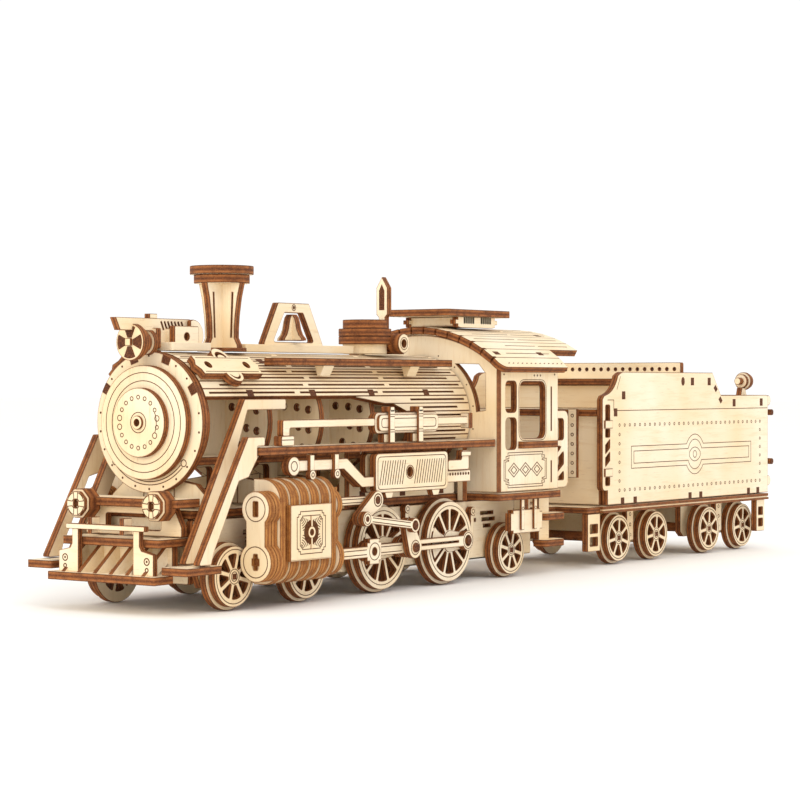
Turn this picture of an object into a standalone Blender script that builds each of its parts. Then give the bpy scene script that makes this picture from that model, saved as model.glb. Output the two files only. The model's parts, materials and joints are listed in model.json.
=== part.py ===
"""Wooden 3D jigsaw model: a steam locomotive with its tender, cut from 2 mm plywood.

The model stands on its wheels on z = 0 and is centred on X and Y.  The front faces -X, the
left-hand side faces -Y.  Lengths below are millimetres.  A "station" is a distance along the
model, measured back from its front edge.  Each sub-part is one named object; a small gap is
left between pieces that touch on the real model.
"""

import math

import bmesh
import bpy
from mathutils.geometry import tessellate_polygon

MM = 0.001
LENGTH = 298.6
PLY = 2.0
GAP = 0.3

# running gear: wheel radii on the tread, axle stations and widths across the axle
FLANGE_STEP = 0.88
FLANGE_INNER = 17.15
TREAD_INNER = 19.15
TREAD_OUTER = 21.15
AXLE_RADIUS = 1.5
BOGIE_RADIUS = 7.42
DRIVER_RADIUS = 10.96
TRAILING_RADIUS = 6.87
TENDER_RADIUS = 7.09
BOGIE_STATIONS = (24.7, 52.9)
FRONT_DRIVER = 85.0
REAR_DRIVER = 115.8
TRAILING_STATION = 146.5
TENDER_STATIONS = (206.1, 229.0, 263.3, 286.4)

# rods: each side has four layers outside the wheels
ROD_THICKNESS = 1.8
COUPLING_LAYER = 21.5
MAIN_LAYER = 23.6
CRANK_LAYER = 25.7
ECCENTRIC_LAYER = 27.8
CRANK_RADIUS = 5.9
PIN_RADIUS = 1.1
EYE_HOLE = 1.45
EYE_RADIUS = 2.8
ECCENTRIC_PIN = (88.1, 17.9)
LINK_FOOT = (67.2, 20.5)
VALVE_EYE = (74.4, 25.0)
CROSSHEAD_STATION = 73.0

# chassis and body
CHASSIS_OUTER = 16.3
CHASSIS_TOP = 22.1
DECK_LOW = 22.4
DECK_TOP = 24.4
BOARD_LOW = 37.5
BOARD_TOP = 39.5
BOARD_OUTER = 26.0
BOILER_AXIS = 45.5
BOILER_RADIUS = 17.35
BOILER_TOP = BOILER_AXIS + BOILER_RADIUS
BOILER_FRONT = 19.8
BOILER_REAR = 131.3
CAB_FRONT = 131.6
CAB_REAR = 163.6
ROOF_RADIUS = 39.8
ROOF_TOP = 71.0
DRAWBAR_PIN = 170.0

LEFT = -1
RIGHT = 1
SIDES = (("left", LEFT), ("right", RIGHT))

PALE_PLY = (0.80, 0.62, 0.38)
WARM_PLY = (0.72, 0.52, 0.29)
BURNT_PLY = (0.36, 0.19, 0.09)


# ---------------------------------------------------------------- outlines

def arc(cu, cv, radius, start, end, count):
    """Points on an arc, from start to end in degrees."""
    points = []
    for i in range(count + 1):
        angle = math.radians(start + (end - start) * i / count)
        points.append((cu + radius * math.cos(angle), cv + radius * math.sin(angle)))
    return points


def circle(cu, cv, radius, count=16):
    return arc(cu, cv, radius, 0, 360, count)[:-1]


def rectangle(u0, v0, u1, v1):
    return [(u0, v0), (u1, v0), (u1, v1), (u0, v1)]


def rounded(u0, v0, u1, v1, radius, steps=3):
    """A rectangle with round corners."""
    return (arc(u1 - radius, v0 + radius, radius, -90, 0, steps)
            + arc(u1 - radius, v1 - radius, radius, 0, 90, steps)
            + arc(u0 + radius, v1 - radius, radius, 90, 180, steps)
            + arc(u0 + radius, v0 + radius, radius, 180, 270, steps))


def capsule(a, b, radius, steps=5):
    """A bar with round ends, from point a to point b."""
    angle = math.degrees(math.atan2(b[1] - a[1], b[0] - a[0]))
    return (arc(b[0], b[1], radius, angle - 90, angle + 90, steps)
            + arc(a[0], a[1], radius, angle + 90, angle + 270, steps))


def strip(a, b, width):
    """A straight bar with square ends, from point a to point b."""
    length = math.hypot(b[0] - a[0], b[1] - a[1])
    nu = -(b[1] - a[1]) / length * width / 2
    nv = (b[0] - a[0]) / length * width / 2
    return [(a[0] - nu, a[1] - nv), (b[0] - nu, b[1] - nv), (b[0] + nu, b[1] + nv), (a[0] + nu, a[1] + nv)]


# ---------------------------------------------------------------- solids

def place(plane, u, v, level):
    """A point of a flat outline in world metres.  XZ plates lie along the model, YZ across, XY flat."""
    if plane == "XZ":
        return ((u - LENGTH / 2) * MM, level * MM, v * MM)
    if plane == "YZ":
        return ((level - LENGTH / 2) * MM, u * MM, v * MM)
    return ((u - LENGTH / 2) * MM, v * MM, level * MM)


def plate(plane, outline, low, high, holes=()):
    """A plate between two levels, cut to an outline with holes."""
    loops = [outline, *holes]
    flat = [(u, v, 0.0) for loop in loops for u, v in loop]
    triangles = tessellate_polygon([[(u, v, 0.0) for u, v in loop] for loop in loops])
    bm = bmesh.new()
    rings = [[bm.verts.new(place(plane, u, v, level)) for u, v, _ in flat] for level in (low, high)]
    for ring in rings:
        for triangle in triangles:
            bm.faces.new([ring[i] for i in triangle])
    start = 0
    for loop in loops:
        for i in range(len(loop)):
            a = start + i
            b = start + (i + 1) % len(loop)
            bm.faces.new((rings[0][a], rings[0][b], rings[1][b], rings[1][a]))
        start += len(loop)
    return finish_mesh(bm)


def turned(axis, centre, profile, segments=16):
    """A turned solid.  The profile is (distance along the axis, radius) and its ends have radius 0."""
    bm = bmesh.new()
    rings = []
    for along, radius in profile:
        if radius == 0:
            rings.append([bm.verts.new(turned_point(axis, centre, along, 0, 0))])
            continue
        ring = []
        for i in range(segments):
            angle = 2 * math.pi * i / segments
            ring.append(bm.verts.new(turned_point(
                axis, centre, along, radius * math.cos(angle), radius * math.sin(angle))))
        rings.append(ring)
    for low, high in zip(rings, rings[1:]):
        for i in range(segments):
            j = (i + 1) % segments
            if len(low) == 1:
                bm.faces.new((low[0], high[i], high[j]))
            elif len(high) == 1:
                bm.faces.new((low[i], low[j], high[0]))
            else:
                bm.faces.new((low[i], low[j], high[j], high[i]))
    return finish_mesh(bm)


def turned_point(axis, centre, along, u, v):
    """centre is the two fixed coordinates of the axis: (y, z), (station, z) or (station, y)."""
    if axis == "X":
        return place("YZ", centre[0] + u, centre[1] + v, along)
    if axis == "Y":
        return place("XZ", centre[0] + u, centre[1] + v, along)
    return place("XY", centre[0] + u, centre[1] + v, along)


def rod(axis, centre, low, high, radius, segments=12):
    return turned(axis, centre, [(low, 0), (low, radius), (high, radius), (high, 0)], segments)


def finish_mesh(bm):
    bmesh.ops.recalc_face_normals(bm, faces=bm.faces)
    mesh = bpy.data.meshes.new("solid")
    bm.to_mesh(mesh)
    bm.free()
    return mesh


def combine(base, others, operation):
    """Joins or cuts meshes with exact Booleans and returns one mesh."""
    body = bpy.data.objects.new("body", base)
    bpy.context.scene.collection.objects.link(body)
    tools = []
    for mesh in others:
        tool = bpy.data.objects.new("tool", mesh)
        bpy.context.scene.collection.objects.link(tool)
        tool.hide_render = True
        tool.display_type = "WIRE"
        modifier = body.modifiers.new("step", "BOOLEAN")
        modifier.operation = operation
        modifier.solver = "EXACT"
        modifier.object = tool
        tools.append(tool)
    graph = bpy.context.evaluated_depsgraph_get()
    result = bpy.data.meshes.new_from_object(body.evaluated_get(graph))
    for item in [body, *tools]:
        bpy.data.objects.remove(item)
    return result


def union(base, *others):
    return combine(base, others, "UNION")


def cut(base, *others):
    return combine(base, others, "DIFFERENCE")


def across(side, inner, outer):
    """The low and high y of something between two distances from the centre line, on one side."""
    return tuple(sorted((side * inner, side * outer)))


# ---------------------------------------------------------------- objects

def wood(name, colour):
    """Plain plywood in one colour."""
    material = bpy.data.materials.new(name)
    material.use_nodes = True
    shader = material.node_tree.nodes["Principled BSDF"]
    shader.inputs["Base Color"].default_value = (*colour, 1.0)
    shader.inputs["Roughness"].default_value = 0.7
    shader.inputs["Metallic"].default_value = 0.0
    return material


def make(name, mesh, colour=PALE_PLY, pivot=None):
    """Names a solid.  A moving piece gets its origin on its joint's axis."""
    item = bpy.data.objects.new(name, mesh)
    bpy.context.scene.collection.objects.link(item)
    mesh.name = name
    mesh.materials.clear()
    mesh.materials.append(wood(name, colour))
    mesh.shade_smooth()
    mesh.set_sharp_from_angle(angle=math.radians(30))
    if pivot:
        station, y, z = pivot
        origin = place("XZ", station, z, y)
        for vertex in mesh.vertices:
            vertex.co = [c - o for c, o in zip(vertex.co, origin)]
        item.location = origin
    return item


# ---------------------------------------------------------------- running gear

def wheel_profile(radius):
    """Two wheels on one dowel axle: tread discs outside, wider flange discs inside."""
    flange = radius + FLANGE_STEP
    half = [(-TREAD_OUTER - GAP, 0), (-TREAD_OUTER - GAP, AXLE_RADIUS), (-TREAD_OUTER, AXLE_RADIUS),
            (-TREAD_OUTER, radius), (-TREAD_INNER, radius), (-TREAD_INNER, flange),
            (-FLANGE_INNER, flange), (-FLANGE_INNER, AXLE_RADIUS)]
    return half + [(-along, r) for along, r in reversed(half)]


def spoke_holes(station, height, radius, count, hub, rim, spoke):
    """Cutters for the openings between the spokes, through both wheels at once."""
    cutters = []
    for i in range(count):
        middle = 360 * (i + 0.5) / count
        half_in = 180 / count - math.degrees(spoke / 2 / hub)
        half_out = 180 / count - math.degrees(spoke / 2 / rim)
        outline = (arc(station, height, rim, middle - half_out, middle + half_out, 1)
                   + arc(station, height, hub, middle + half_in, middle - half_in, 1))
        cutters.append(plate("XZ", outline, -TREAD_OUTER - PLY, TREAD_OUTER + PLY))
    return cutters


def wheelset(name, station, radius, count, segments):
    height = radius + FLANGE_STEP
    body = turned("Y", (station, height), wheel_profile(radius), segments)
    holes = spoke_holes(station, height, radius, count, radius * 0.34, radius * 0.72, 1.5)
    make(name, cut(body, *holes), WARM_PLY, pivot=(station, 0, height))


def crank_pin(side, station, height, inner, outer, radius=PIN_RADIUS):
    low, high = across(side, inner, outer)
    return rod("Y", (station, height), low, high, radius, 10)


def driver_wheelset(name, station, with_crank):
    """A driving wheelset with its crank pins; the front one also carries the return cranks."""
    height = DRIVER_RADIUS + FLANGE_STEP
    body = turned("Y", (station, height), wheel_profile(DRIVER_RADIUS), 24)
    holes = spoke_holes(station, height, DRIVER_RADIUS, 10, 3.9, 8.7, 1.5)
    body = cut(body, *holes)
    pin_station = station + CRANK_RADIUS
    added = []
    for _, side in SIDES:
        low, high = across(side, TREAD_OUTER - PLY, TREAD_OUTER + 0.1)
        boss = strip((station, height), (pin_station + 2.4, height), 5.0)
        added.append(plate("XZ", boss, low, high))
        if not with_crank:
            added.append(crank_pin(side, pin_station, height, TREAD_OUTER - 1, MAIN_LAYER))
            continue
        added.append(crank_pin(side, pin_station, height, TREAD_OUTER - 1, CRANK_LAYER + 1))
        low, high = across(side, CRANK_LAYER, CRANK_LAYER + ROD_THICKNESS)
        added.append(plate("XZ", capsule((pin_station, height), ECCENTRIC_PIN, 2.2), low, high))
        added.append(crank_pin(side, *ECCENTRIC_PIN, CRANK_LAYER + 1,
                               ECCENTRIC_LAYER + ROD_THICKNESS + 0.2, 1.0))
    make(name, union(body, *added), WARM_PLY, pivot=(station, 0, height))


def connecting_bar(name, side, a, b, layer, width, holes, pivot):
    """A flat rod with a round eye at each end."""
    bar = plate("XZ", strip(a, b, width), *across(side, layer, layer + ROD_THICKNESS))
    low, high = across(side, layer, layer + ROD_THICKNESS)
    eyes = [plate("XZ", circle(*point, EYE_RADIUS), low, high) for point in (a, b)]
    bores = [rod("Y", point, low - 1, high + 1, EYE_HOLE) for point in holes]
    make(name, cut(union(bar, *eyes), *bores), PALE_PLY, pivot=(pivot[0], 0, pivot[1]))


def coupling_rod(label, side):
    height = DRIVER_RADIUS + FLANGE_STEP
    front = (FRONT_DRIVER + CRANK_RADIUS, height)
    rear = (REAR_DRIVER + CRANK_RADIUS, height)
    connecting_bar(f"coupling_rod_{label}", side, front, rear, COUPLING_LAYER, 2.6, (front, rear), front)


def main_rod(label, side):
    height = DRIVER_RADIUS + FLANGE_STEP
    front = (CROSSHEAD_STATION, height)
    rear = (FRONT_DRIVER + CRANK_RADIUS, height)
    connecting_bar(f"main_rod_{label}", side, front, rear, MAIN_LAYER, 2.8, (front, rear), rear)


def eccentric_rod(label, side):
    connecting_bar(f"eccentric_rod_{label}", side, LINK_FOOT, ECCENTRIC_PIN, ECCENTRIC_LAYER, 2.0,
                   (ECCENTRIC_PIN,), ECCENTRIC_PIN)


def crosshead(label, side):
    """The piston rod with the crosshead eye.  Its front end slides in the cylinder block."""
    height = DRIVER_RADIUS + FLANGE_STEP
    low, high = across(side, CRANK_LAYER, CRANK_LAYER + ROD_THICKNESS)
    bar = plate("XZ", rectangle(52.0, height - 0.9, CROSSHEAD_STATION, height + 0.9), low, high)
    eye = plate("XZ", circle(CROSSHEAD_STATION, height, 2.6), low, high)
    guide = plate("XZ", rectangle(69.6, height - 2.2, 72.0, height + 2.2), low, high)
    make(f"crosshead_{label}", union(bar, eye, guide), PALE_PLY)


def valve_rod(label, side):
    """The valve rod with the hanging link that the eccentric rod works."""
    z = VALVE_EYE[1]
    inner = across(side, MAIN_LAYER, MAIN_LAYER + ROD_THICKNESS)
    outer = across(side, CRANK_LAYER, CRANK_LAYER + ROD_THICKNESS)
    stem = plate("XZ", rectangle(53.0, z - 0.9, VALVE_EYE[0], z + 0.9), *inner)
    eye = plate("XZ", circle(*VALVE_EYE, 2.1), *inner)
    link = plate("XZ", capsule(VALVE_EYE, LINK_FOOT, 2.1), *outer)
    pin = crank_pin(side, *VALVE_EYE, MAIN_LAYER + 0.5, CRANK_LAYER + 0.5)
    make(f"valve_rod_{label}", union(stem, eye, link, pin), PALE_PLY)


def cylinder_block(label, side):
    """Steam cylinder and valve chest: a stack of layers with two round covers in front."""
    height = DRIVER_RADIUS + FLANGE_STEP
    outer = [(side * y, z) for y, z in arc(24.6, 11.4, 5.4, -80, 0, 4) + arc(24.6, 26.4, 5.4, 0, 80, 4)]
    inner = side * 21.6
    covers = plate("YZ", capsule((side * 26.2, height), (side * 26.2, 24.7), 4.9, 8), 26.6, 31.8)
    stack = plate("YZ", [(inner, 6.2), *outer, (inner, 31.6)], 31.4, 53.6)
    low, high = across(side, 21.6, 27.4)
    rear = plate("YZ", rectangle(low, 8.0, high, 29.0), 53.2, 57.4)
    low, high = across(side, CHASSIS_OUTER + GAP, 22.4)
    saddle = plate("XY", rectangle(36.0, low, 52.0, high), 19.0, 21.0)
    low, high = across(side, CRANK_LAYER - 0.4, CRANK_LAYER + ROD_THICKNESS + 0.4)
    piston_bore = plate("XZ", rectangle(38.0, height - 1.3, 60.0, height + 1.3), low, high)
    low, high = across(side, MAIN_LAYER - 0.4, MAIN_LAYER + ROD_THICKNESS + 0.4)
    valve_bore = plate("XZ", rectangle(46.0, VALVE_EYE[1] - 1.3, 60.0, VALVE_EYE[1] + 1.3), low, high)
    body = cut(union(stack, covers, rear, saddle), piston_bore, valve_bore)
    make(f"cylinder_block_{label}", body, BURNT_PLY)


# ---------------------------------------------------------------- chassis and front end

def chassis_side(label, side):
    """A long side frame with bores for the axles."""
    bores = [circle(s, BOGIE_RADIUS + FLANGE_STEP, AXLE_RADIUS + GAP, 8) for s in BOGIE_STATIONS]
    bores += [circle(s, DRIVER_RADIUS + FLANGE_STEP, AXLE_RADIUS + GAP, 8)
              for s in (FRONT_DRIVER, REAR_DRIVER)]
    bores.append(circle(TRAILING_STATION, TRAILING_RADIUS + FLANGE_STEP, AXLE_RADIUS + GAP, 8))
    slots = [rectangle(s, 14.5, s + 15, 18.5) for s in (32.0, 62.0, 95.0, 125.0)]
    outline = [(14.9, 13.0), (18.0, 5.6), (164.0, 5.6), (164.0, CHASSIS_TOP), (14.9, CHASSIS_TOP)]
    make(f"chassis_side_{label}", plate("XZ", outline, *across(side, CHASSIS_OUTER - PLY, CHASSIS_OUTER),
                                        bores + slots), PALE_PLY)


def chassis_deck():
    """The deck over the wheels with the cross frames that hold the side frames apart."""
    deck = plate("XY", rectangle(14.9, -16.0, 129.4, 16.0), DECK_LOW, DECK_TOP)
    frames = [plate("YZ", rectangle(-14.0, 6.5, 14.0, DECK_LOW + 0.5), s, s + PLY)
              for s in (16.0, 38.0, 68.0, 100.0, 127.0)]
    make("chassis_deck", union(deck, *frames), WARM_PLY)


def pilot():
    """Cowcatcher: a foot board, the buffer beam above and the ribs between them."""
    foot = plate("XY", rectangle(0.0, -17.4, 7.0, 17.4), 7.5, 9.5)
    beam = plate("XY", rectangle(3.6, -15.7, 14.6, 15.7), 16.0, 18.0)
    ribs = []
    for i in range(6):
        y = -13.0 + 5.2 * i
        outline = [(0.6, 9.3), (5.4, 9.3), (10.6, 12.8), (10.6, 16.2), (8.6, 16.2)]
        ribs.append(plate("XZ", outline, y - 0.9, y + 0.9))
    stand = plate("YZ", rectangle(-15.0, 12.7, 15.0, 16.2), 9.2, 11.2)
    make("pilot", union(foot, beam, stand, *ribs), PALE_PLY)


def front_step_board():
    """The wide step board, cut away in the middle for the cowcatcher."""
    half = 26.0
    notch = 17.9
    outline = [(1.8, -half), (14.6, -half), (14.6, half), (1.8, half), (1.8, notch), (11.6, notch),
               (11.6, -notch), (1.8, -notch)]
    make("front_step_board", plate("XY", outline, 9.9, 11.8), WARM_PLY)


def lamp_beam():
    beam = plate("XY", rectangle(6.6, -17.2, 16.8, 17.2), 25.3, 27.4)
    make("lamp_beam", beam, PALE_PLY)


def marker_lamp(label, side):
    """A small round lamp, three discs thick, on the front edge of the lamp beam."""
    centre = (side * 12.3, 25.8)
    profile = [(2.6, 0), (2.6, 3.0), (3.4, 3.7), (5.2, 3.7), (5.2, 2.8), (6.3, 2.8), (6.3, 0)]
    make(f"marker_lamp_{label}", turned("X", centre, profile, 16), WARM_PLY)


def smokebox_ring():
    profile = [(17.5, 0), (17.5, BOILER_RADIUS), (19.5, BOILER_RADIUS), (19.5, 0)]
    body = turned("X", (0, BOILER_AXIS), profile, 32)
    make("smokebox_ring", body, PALE_PLY)


def smokebox_door():
    profile = [(12.6, 0), (12.6, 1.6), (13.6, 1.6), (13.6, 8.5),
               (15.3, 8.5), (15.3, 14.0), (17.2, 14.0), (17.2, 0)]
    make("smokebox_door", turned("X", (0, BOILER_AXIS), profile, 24), PALE_PLY)


def headlamp_bracket():
    """The upright lamp plate with its base and side box, standing on the boiler."""
    base = plate("XY", rectangle(20.4, -5.0, 35.0, 5.0), BOILER_TOP + GAP, BOILER_TOP + GAP + PLY)
    upright = plate("XZ", [(16.4, 63.6), (30.0, 63.6), *arc(31.2, 67.0, 4.0, -60, 90, 5), (4.6, 71.0),
                           (6.6, 67.3), (16.4, 67.3)], -1.0, 1.0)
    box = plate("YZ", rectangle(-4.2, BOILER_TOP + 1, 4.2, 69.0), 22.0, 31.0)
    make("headlamp_bracket", union(base, upright, box), PALE_PLY)


def headlamp():
    profile = [(9.8, 0), (9.8, 1.2), (10.6, 1.2), (10.6, 4.5), (12.4, 4.5), (12.4, 3.6), (14.2, 3.6),
               (14.2, 2.4), (16.1, 2.4), (16.1, 0)]
    lamp = turned("X", (0, 65.2), profile, 16)
    slot = plate("XZ", rectangle(3.0, 67.0, 17.0, 72.0), -1.3, 1.3)
    make("headlamp", cut(lamp, slot), WARM_PLY)


def outer_brace(label, side):
    """The slanting stay from the front step up to the running board, with a tab on the board."""
    outline = [(6.4, 12.1), (11.0, 12.1), (12.0, 15.0), (16.2, 22.4), (21.2, 31.6),
               (24.8, 32.4), (28.1, 36.8),
               (28.1, 39.8), (31.0, 39.8), (31.0, 42.1), (24.6, 42.1)]
    make(f"outer_brace_{label}", plate("XZ", outline, *across(side, 23.6, 25.6)), PALE_PLY)


def inner_brace(label, side):
    """The stay beside the smokebox, bent level along the boiler side."""
    outline = [(8.3, 12.1), (13.1, 12.1), (28.0, 37.9), (28.0, 39.8),
               (31.6, 48.5), (46.5, 48.5), (46.5, 51.2), (30.5, 51.2)]
    make(f"inner_brace_{label}", plate("XZ", outline, *across(side, 17.6, 19.6)), PALE_PLY)


# ---------------------------------------------------------------- boiler

def boiler_shell():
    """The planked boiler skin, cut away low on both sides in front of the firebox."""
    low = -19.0
    outline = (arc(0, BOILER_AXIS, BOILER_RADIUS, low, 180 - low, 30)
               + arc(0, BOILER_AXIS, BOILER_RADIUS - PLY, 180 - low, low, 30))
    skin = plate("YZ", outline, BOILER_FRONT, BOILER_REAR)
    opening = plate("XZ", [(BOILER_FRONT - 1, 30.0), (100.0, 30.0), (99.0, 47.0), (96.0, 49.6),
                           (78.0, 51.5),
                           (BOILER_FRONT - 1, 51.5)], -30, 30)
    make("boiler_shell", cut(skin, opening), PALE_PLY)


def boiler_ribs():
    """Inner frame: an upright spine with round tube plates across it."""
    inner = BOILER_RADIUS - PLY - GAP
    outline = arc(0, BOILER_AXIS, inner, -75, 255, 18)
    foot = rectangle(-5.0, DECK_TOP + GAP, 5.0, 34.0)
    spine = plate("XZ", rectangle(22.0, DECK_TOP + GAP, 129.0, 52.0), -1.0, 1.0)
    parts = []
    for station in (21.0, 45.0, 66.0, 88.0, 128.0):
        holes = [circle(6.0 * math.cos(a), BOILER_AXIS + 6.0 + 3.0 * math.sin(a), 1.5, 6)
                 for a in (0.0, math.pi)]
        parts.append(plate("YZ", outline, station, station + PLY, holes))
        parts.append(plate("YZ", foot, station + 0.1, station + PLY - 0.1))
    make("boiler_ribs", union(spine, *parts), WARM_PLY)


def chimney():
    """Two crossing plates with a flared foot and two discs on top."""
    station = 44.9
    foot = BOILER_TOP + GAP
    half = [(6.2, foot), (5.9, foot + 1.6), (4.9, foot + 3.4), (5.2, foot + 9.0), (6.9, 80.6)]
    along = [(station + u, z) for u, z in half] + [(station - u, z) for u, z in reversed(half)]
    athwart = [(u, z) for u, z in half] + [(-u, z) for u, z in reversed(half)]
    plates = union(plate("XZ", along, -1.0, 1.0), plate("YZ", athwart, station - 1.0, station + 1.0))
    cap_profile = [(80.4, 0), (80.4, 7.1), (82.6, 7.1), (82.6, 8.1), (84.8, 8.1), (84.8, 0)]
    discs = turned("Z", (station, 0), cap_profile, 20)
    make("chimney", union(plates, discs), WARM_PLY)


def bell_frame():
    """An A-shaped yoke on a long strip along the boiler top."""
    foot = BOILER_TOP + GAP
    strip_plate = plate("XY", rectangle(51.6, -2.2, 97.6, 2.2), foot, foot + PLY)
    outer = [(60.6, foot + 1), (85.2, foot + 1), (85.2, 65.6), (75.6, 76.2), (70.2, 76.2), (60.6, 65.6)]
    opening = [(65.0, 65.9), (81.4, 65.9), (76.0, 73.6), (70.4, 73.6)]
    yoke = plate("XZ", outer, -1.0, 1.0, [opening])
    make("bell_frame", union(strip_plate, yoke), PALE_PLY)


def bell():
    station = 73.2
    half = [(4.2, 66.3), (3.0, 68.0), (2.0, 71.0), (1.2, 73.2)]
    along = [(station + u, z) for u, z in half] + [(station - u, z) for u, z in reversed(half)]
    athwart = [(u, z) for u, z in half] + [(-u, z) for u, z in reversed(half)]
    body = union(plate("XZ", along, -1.0, 1.0), plate("YZ", athwart, station - 1.0, station + 1.0))
    make("bell", body, WARM_PLY)


def steam_dome():
    foot = BOILER_TOP + GAP
    profile = [(foot, 0), (foot, 4.8), (65.8, 4.8), (65.8, 7.25),
               (70.1, 7.25), (70.1, 6.1), (72.5, 6.1), (72.5, 0)]
    make("steam_dome", turned("Z", (105.4, 0), profile, 20), WARM_PLY)


def whistle_post():
    """A pointed upright blade on a small foot behind the dome."""
    foot = BOILER_TOP + GAP
    blade = plate("YZ", [(-1.0, foot), (1.0, foot), (1.3, 76.0), (1.9, 82.0), (0.0, 84.6), (-1.9, 82.0),
                         (-1.3, 76.0)], 113.2, 115.2)
    base = plate("XY", rectangle(113.0, -3.6, 119.0, 3.6), foot, foot + PLY)
    make("whistle_post", union(blade, base), PALE_PLY)


def running_board(label, side):
    """The long board beside the boiler, on hangers that stand on the deck's edge."""
    low, high = across(side, 16.6, BOARD_OUTER)
    board = plate("XY", rectangle(28.4, low, 131.2, high), BOARD_LOW, BOARD_TOP)
    low, high = across(side, 16.6, 18.6)
    hangers = [plate("YZ", rectangle(low, DECK_LOW, high, BOARD_LOW + 0.5), s, s + PLY)
               for s in (58.4, 72.0, 126.0)]
    make(f"running_board_{label}", union(board, *hangers), PALE_PLY)


def air_tank(label, side):
    """The air tank and its pipe, lying along the top of the running board."""
    low, high = across(side, 22.0, 25.6)
    y = side * 23.8
    tank = plate("XZ", rounded(76.6, 42.0, 105.0, 47.5, 1.8, 3), low, high)
    pipe = rod("X", (y, 45.0), 39.0, 121.2, 1.0, 8)
    elbow = rod("Z", (39.6, y), BOARD_TOP + GAP, 46.0, 1.2, 8)
    tail = rod("Z", (120.4, y), BOARD_TOP + GAP, 46.0, 1.2, 8)
    low, high = across(side, 21.4, 25.9)
    straps = [plate("XZ", rectangle(s, BOARD_TOP + GAP, s + PLY, 48.6), low, high) for s in (83.3, 96.1)]
    make(f"air_tank_{label}", union(tank, pipe, elbow, tail, *straps), PALE_PLY)


def brake_box(label, side):
    """The pipe, control box and elbow that hang under the running board."""
    low, high = across(side, 21.4, 26.6)
    box = plate("XZ", [(76.6, 26.7), (106.1, 26.7), (108.1, 28.7), (108.1, 36.9), (74.6, 36.9),
                       (74.6, 28.7)],
                low, high, [circle(97.8, 32.0, 1.6, 8)])
    low, high = across(side, 23.0, 26.0)
    pipe = plate("XZ", [(40.6, 33.3), (62.0, 33.3), (69.6, 28.4), (75.0, 28.4), (75.0, 31.0), (70.6, 31.0),
                        (63.4, 36.0), (40.6, 36.0)], low, high)
    knob = rod("Y", (41.5, 34.6), low, high, 2.4, 12)
    elbow = plate("XZ", [(107.8, 28.8), (118.6, 28.8), (118.6, 36.9), (113.4, 36.9),
                         (113.4, 32.6), (107.8, 32.6)],
                  low, high)
    make(f"brake_box_{label}", union(box, pipe, knob, elbow), WARM_PLY)


# ---------------------------------------------------------------- cab

def roof_line(y, drop=0.0):
    """Height of the curved roof's top at a distance y from the centre line, less drop along the radius."""
    return ROOF_TOP - ROOF_RADIUS + math.sqrt((ROOF_RADIUS - drop) ** 2 - y * y)


def under_roof(half_width, count=8):
    """Points from right to left just under the roof."""
    clearance = PLY + GAP
    points = []
    for i in range(count + 1):
        y = half_width - 2 * half_width * i / count
        points.append((y, roof_line(y, clearance)))
    return points


def cab_front_wall():
    windows = [[(side * 19.4, 41.5), (side * 23.4, 41.5), (side * 23.4, 56.0), (side * 19.6, 57.0),
                (side * 15.5, 57.0)] for _, side in SIDES]
    outline = [(-23.6, DECK_TOP + GAP), (23.6, DECK_TOP + GAP), *under_roof(23.6)]
    make("cab_front_wall", plate("YZ", outline, CAB_FRONT, CAB_FRONT + PLY, windows), PALE_PLY)


def cab_side(label, side):
    windows = [rectangle(136.2, 46.9, 141.8, 55.7), rectangle(136.2, 36.5, 141.8, 45.4),
               [(142.9, 41.4), (144.9, 39.4), (154.8, 39.4), (156.8, 41.4), (156.8, 53.6), (154.8, 55.6),
                (144.9, 55.6), (142.9, 53.6)]]
    outline = rectangle(CAB_FRONT, DECK_TOP + GAP, CAB_REAR, 58.2)
    body = plate("XZ", outline, *across(side, 24.0, 26.0), windows)
    rest = plate("XZ", rectangle(135.6, 36.6, 158.0, 38.7), *across(side, 25.8, 27.6))
    make(f"cab_side_{label}", union(body, rest), PALE_PLY)


def cab_roof():
    """The curved roof: full width over the cab, its middle reaching back over the tender's front."""
    parts = []
    for half_width, low, high in ((29.25, 130.1, 164.5), (22.3, 163.0, 180.0)):
        angle = math.degrees(math.asin(half_width / ROOF_RADIUS))
        centre = ROOF_TOP - ROOF_RADIUS
        outline = (arc(0, centre, ROOF_RADIUS, 90 - angle, 90 + angle, 10)
                   + arc(0, centre, ROOF_RADIUS - PLY, 90 + angle, 90 - angle, 10))
        parts.append(plate("YZ", outline, low, high))
    make("cab_roof", union(*parts), PALE_PLY)


def roof_vent():
    """The ventilator: a box of four plates with a lid that overhangs it."""
    lid = plate("XY", rounded(130.4, -10.4, 162.6, 10.4, 1.2, 2), 74.1, 76.1)
    walls = [plate("YZ", rectangle(-8.0, ROOF_TOP + GAP, 8.0, 74.4), s, s + PLY) for s in (137.6, 153.6)]
    for _, side in SIDES:
        low, high = across(side, 7.2, 9.2)
        walls.append(plate("XZ", rectangle(136.4, roof_line(7.2) + GAP, 156.8, 74.4), low, high))
    make("roof_vent", union(lid, *walls), WARM_PLY)


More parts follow.
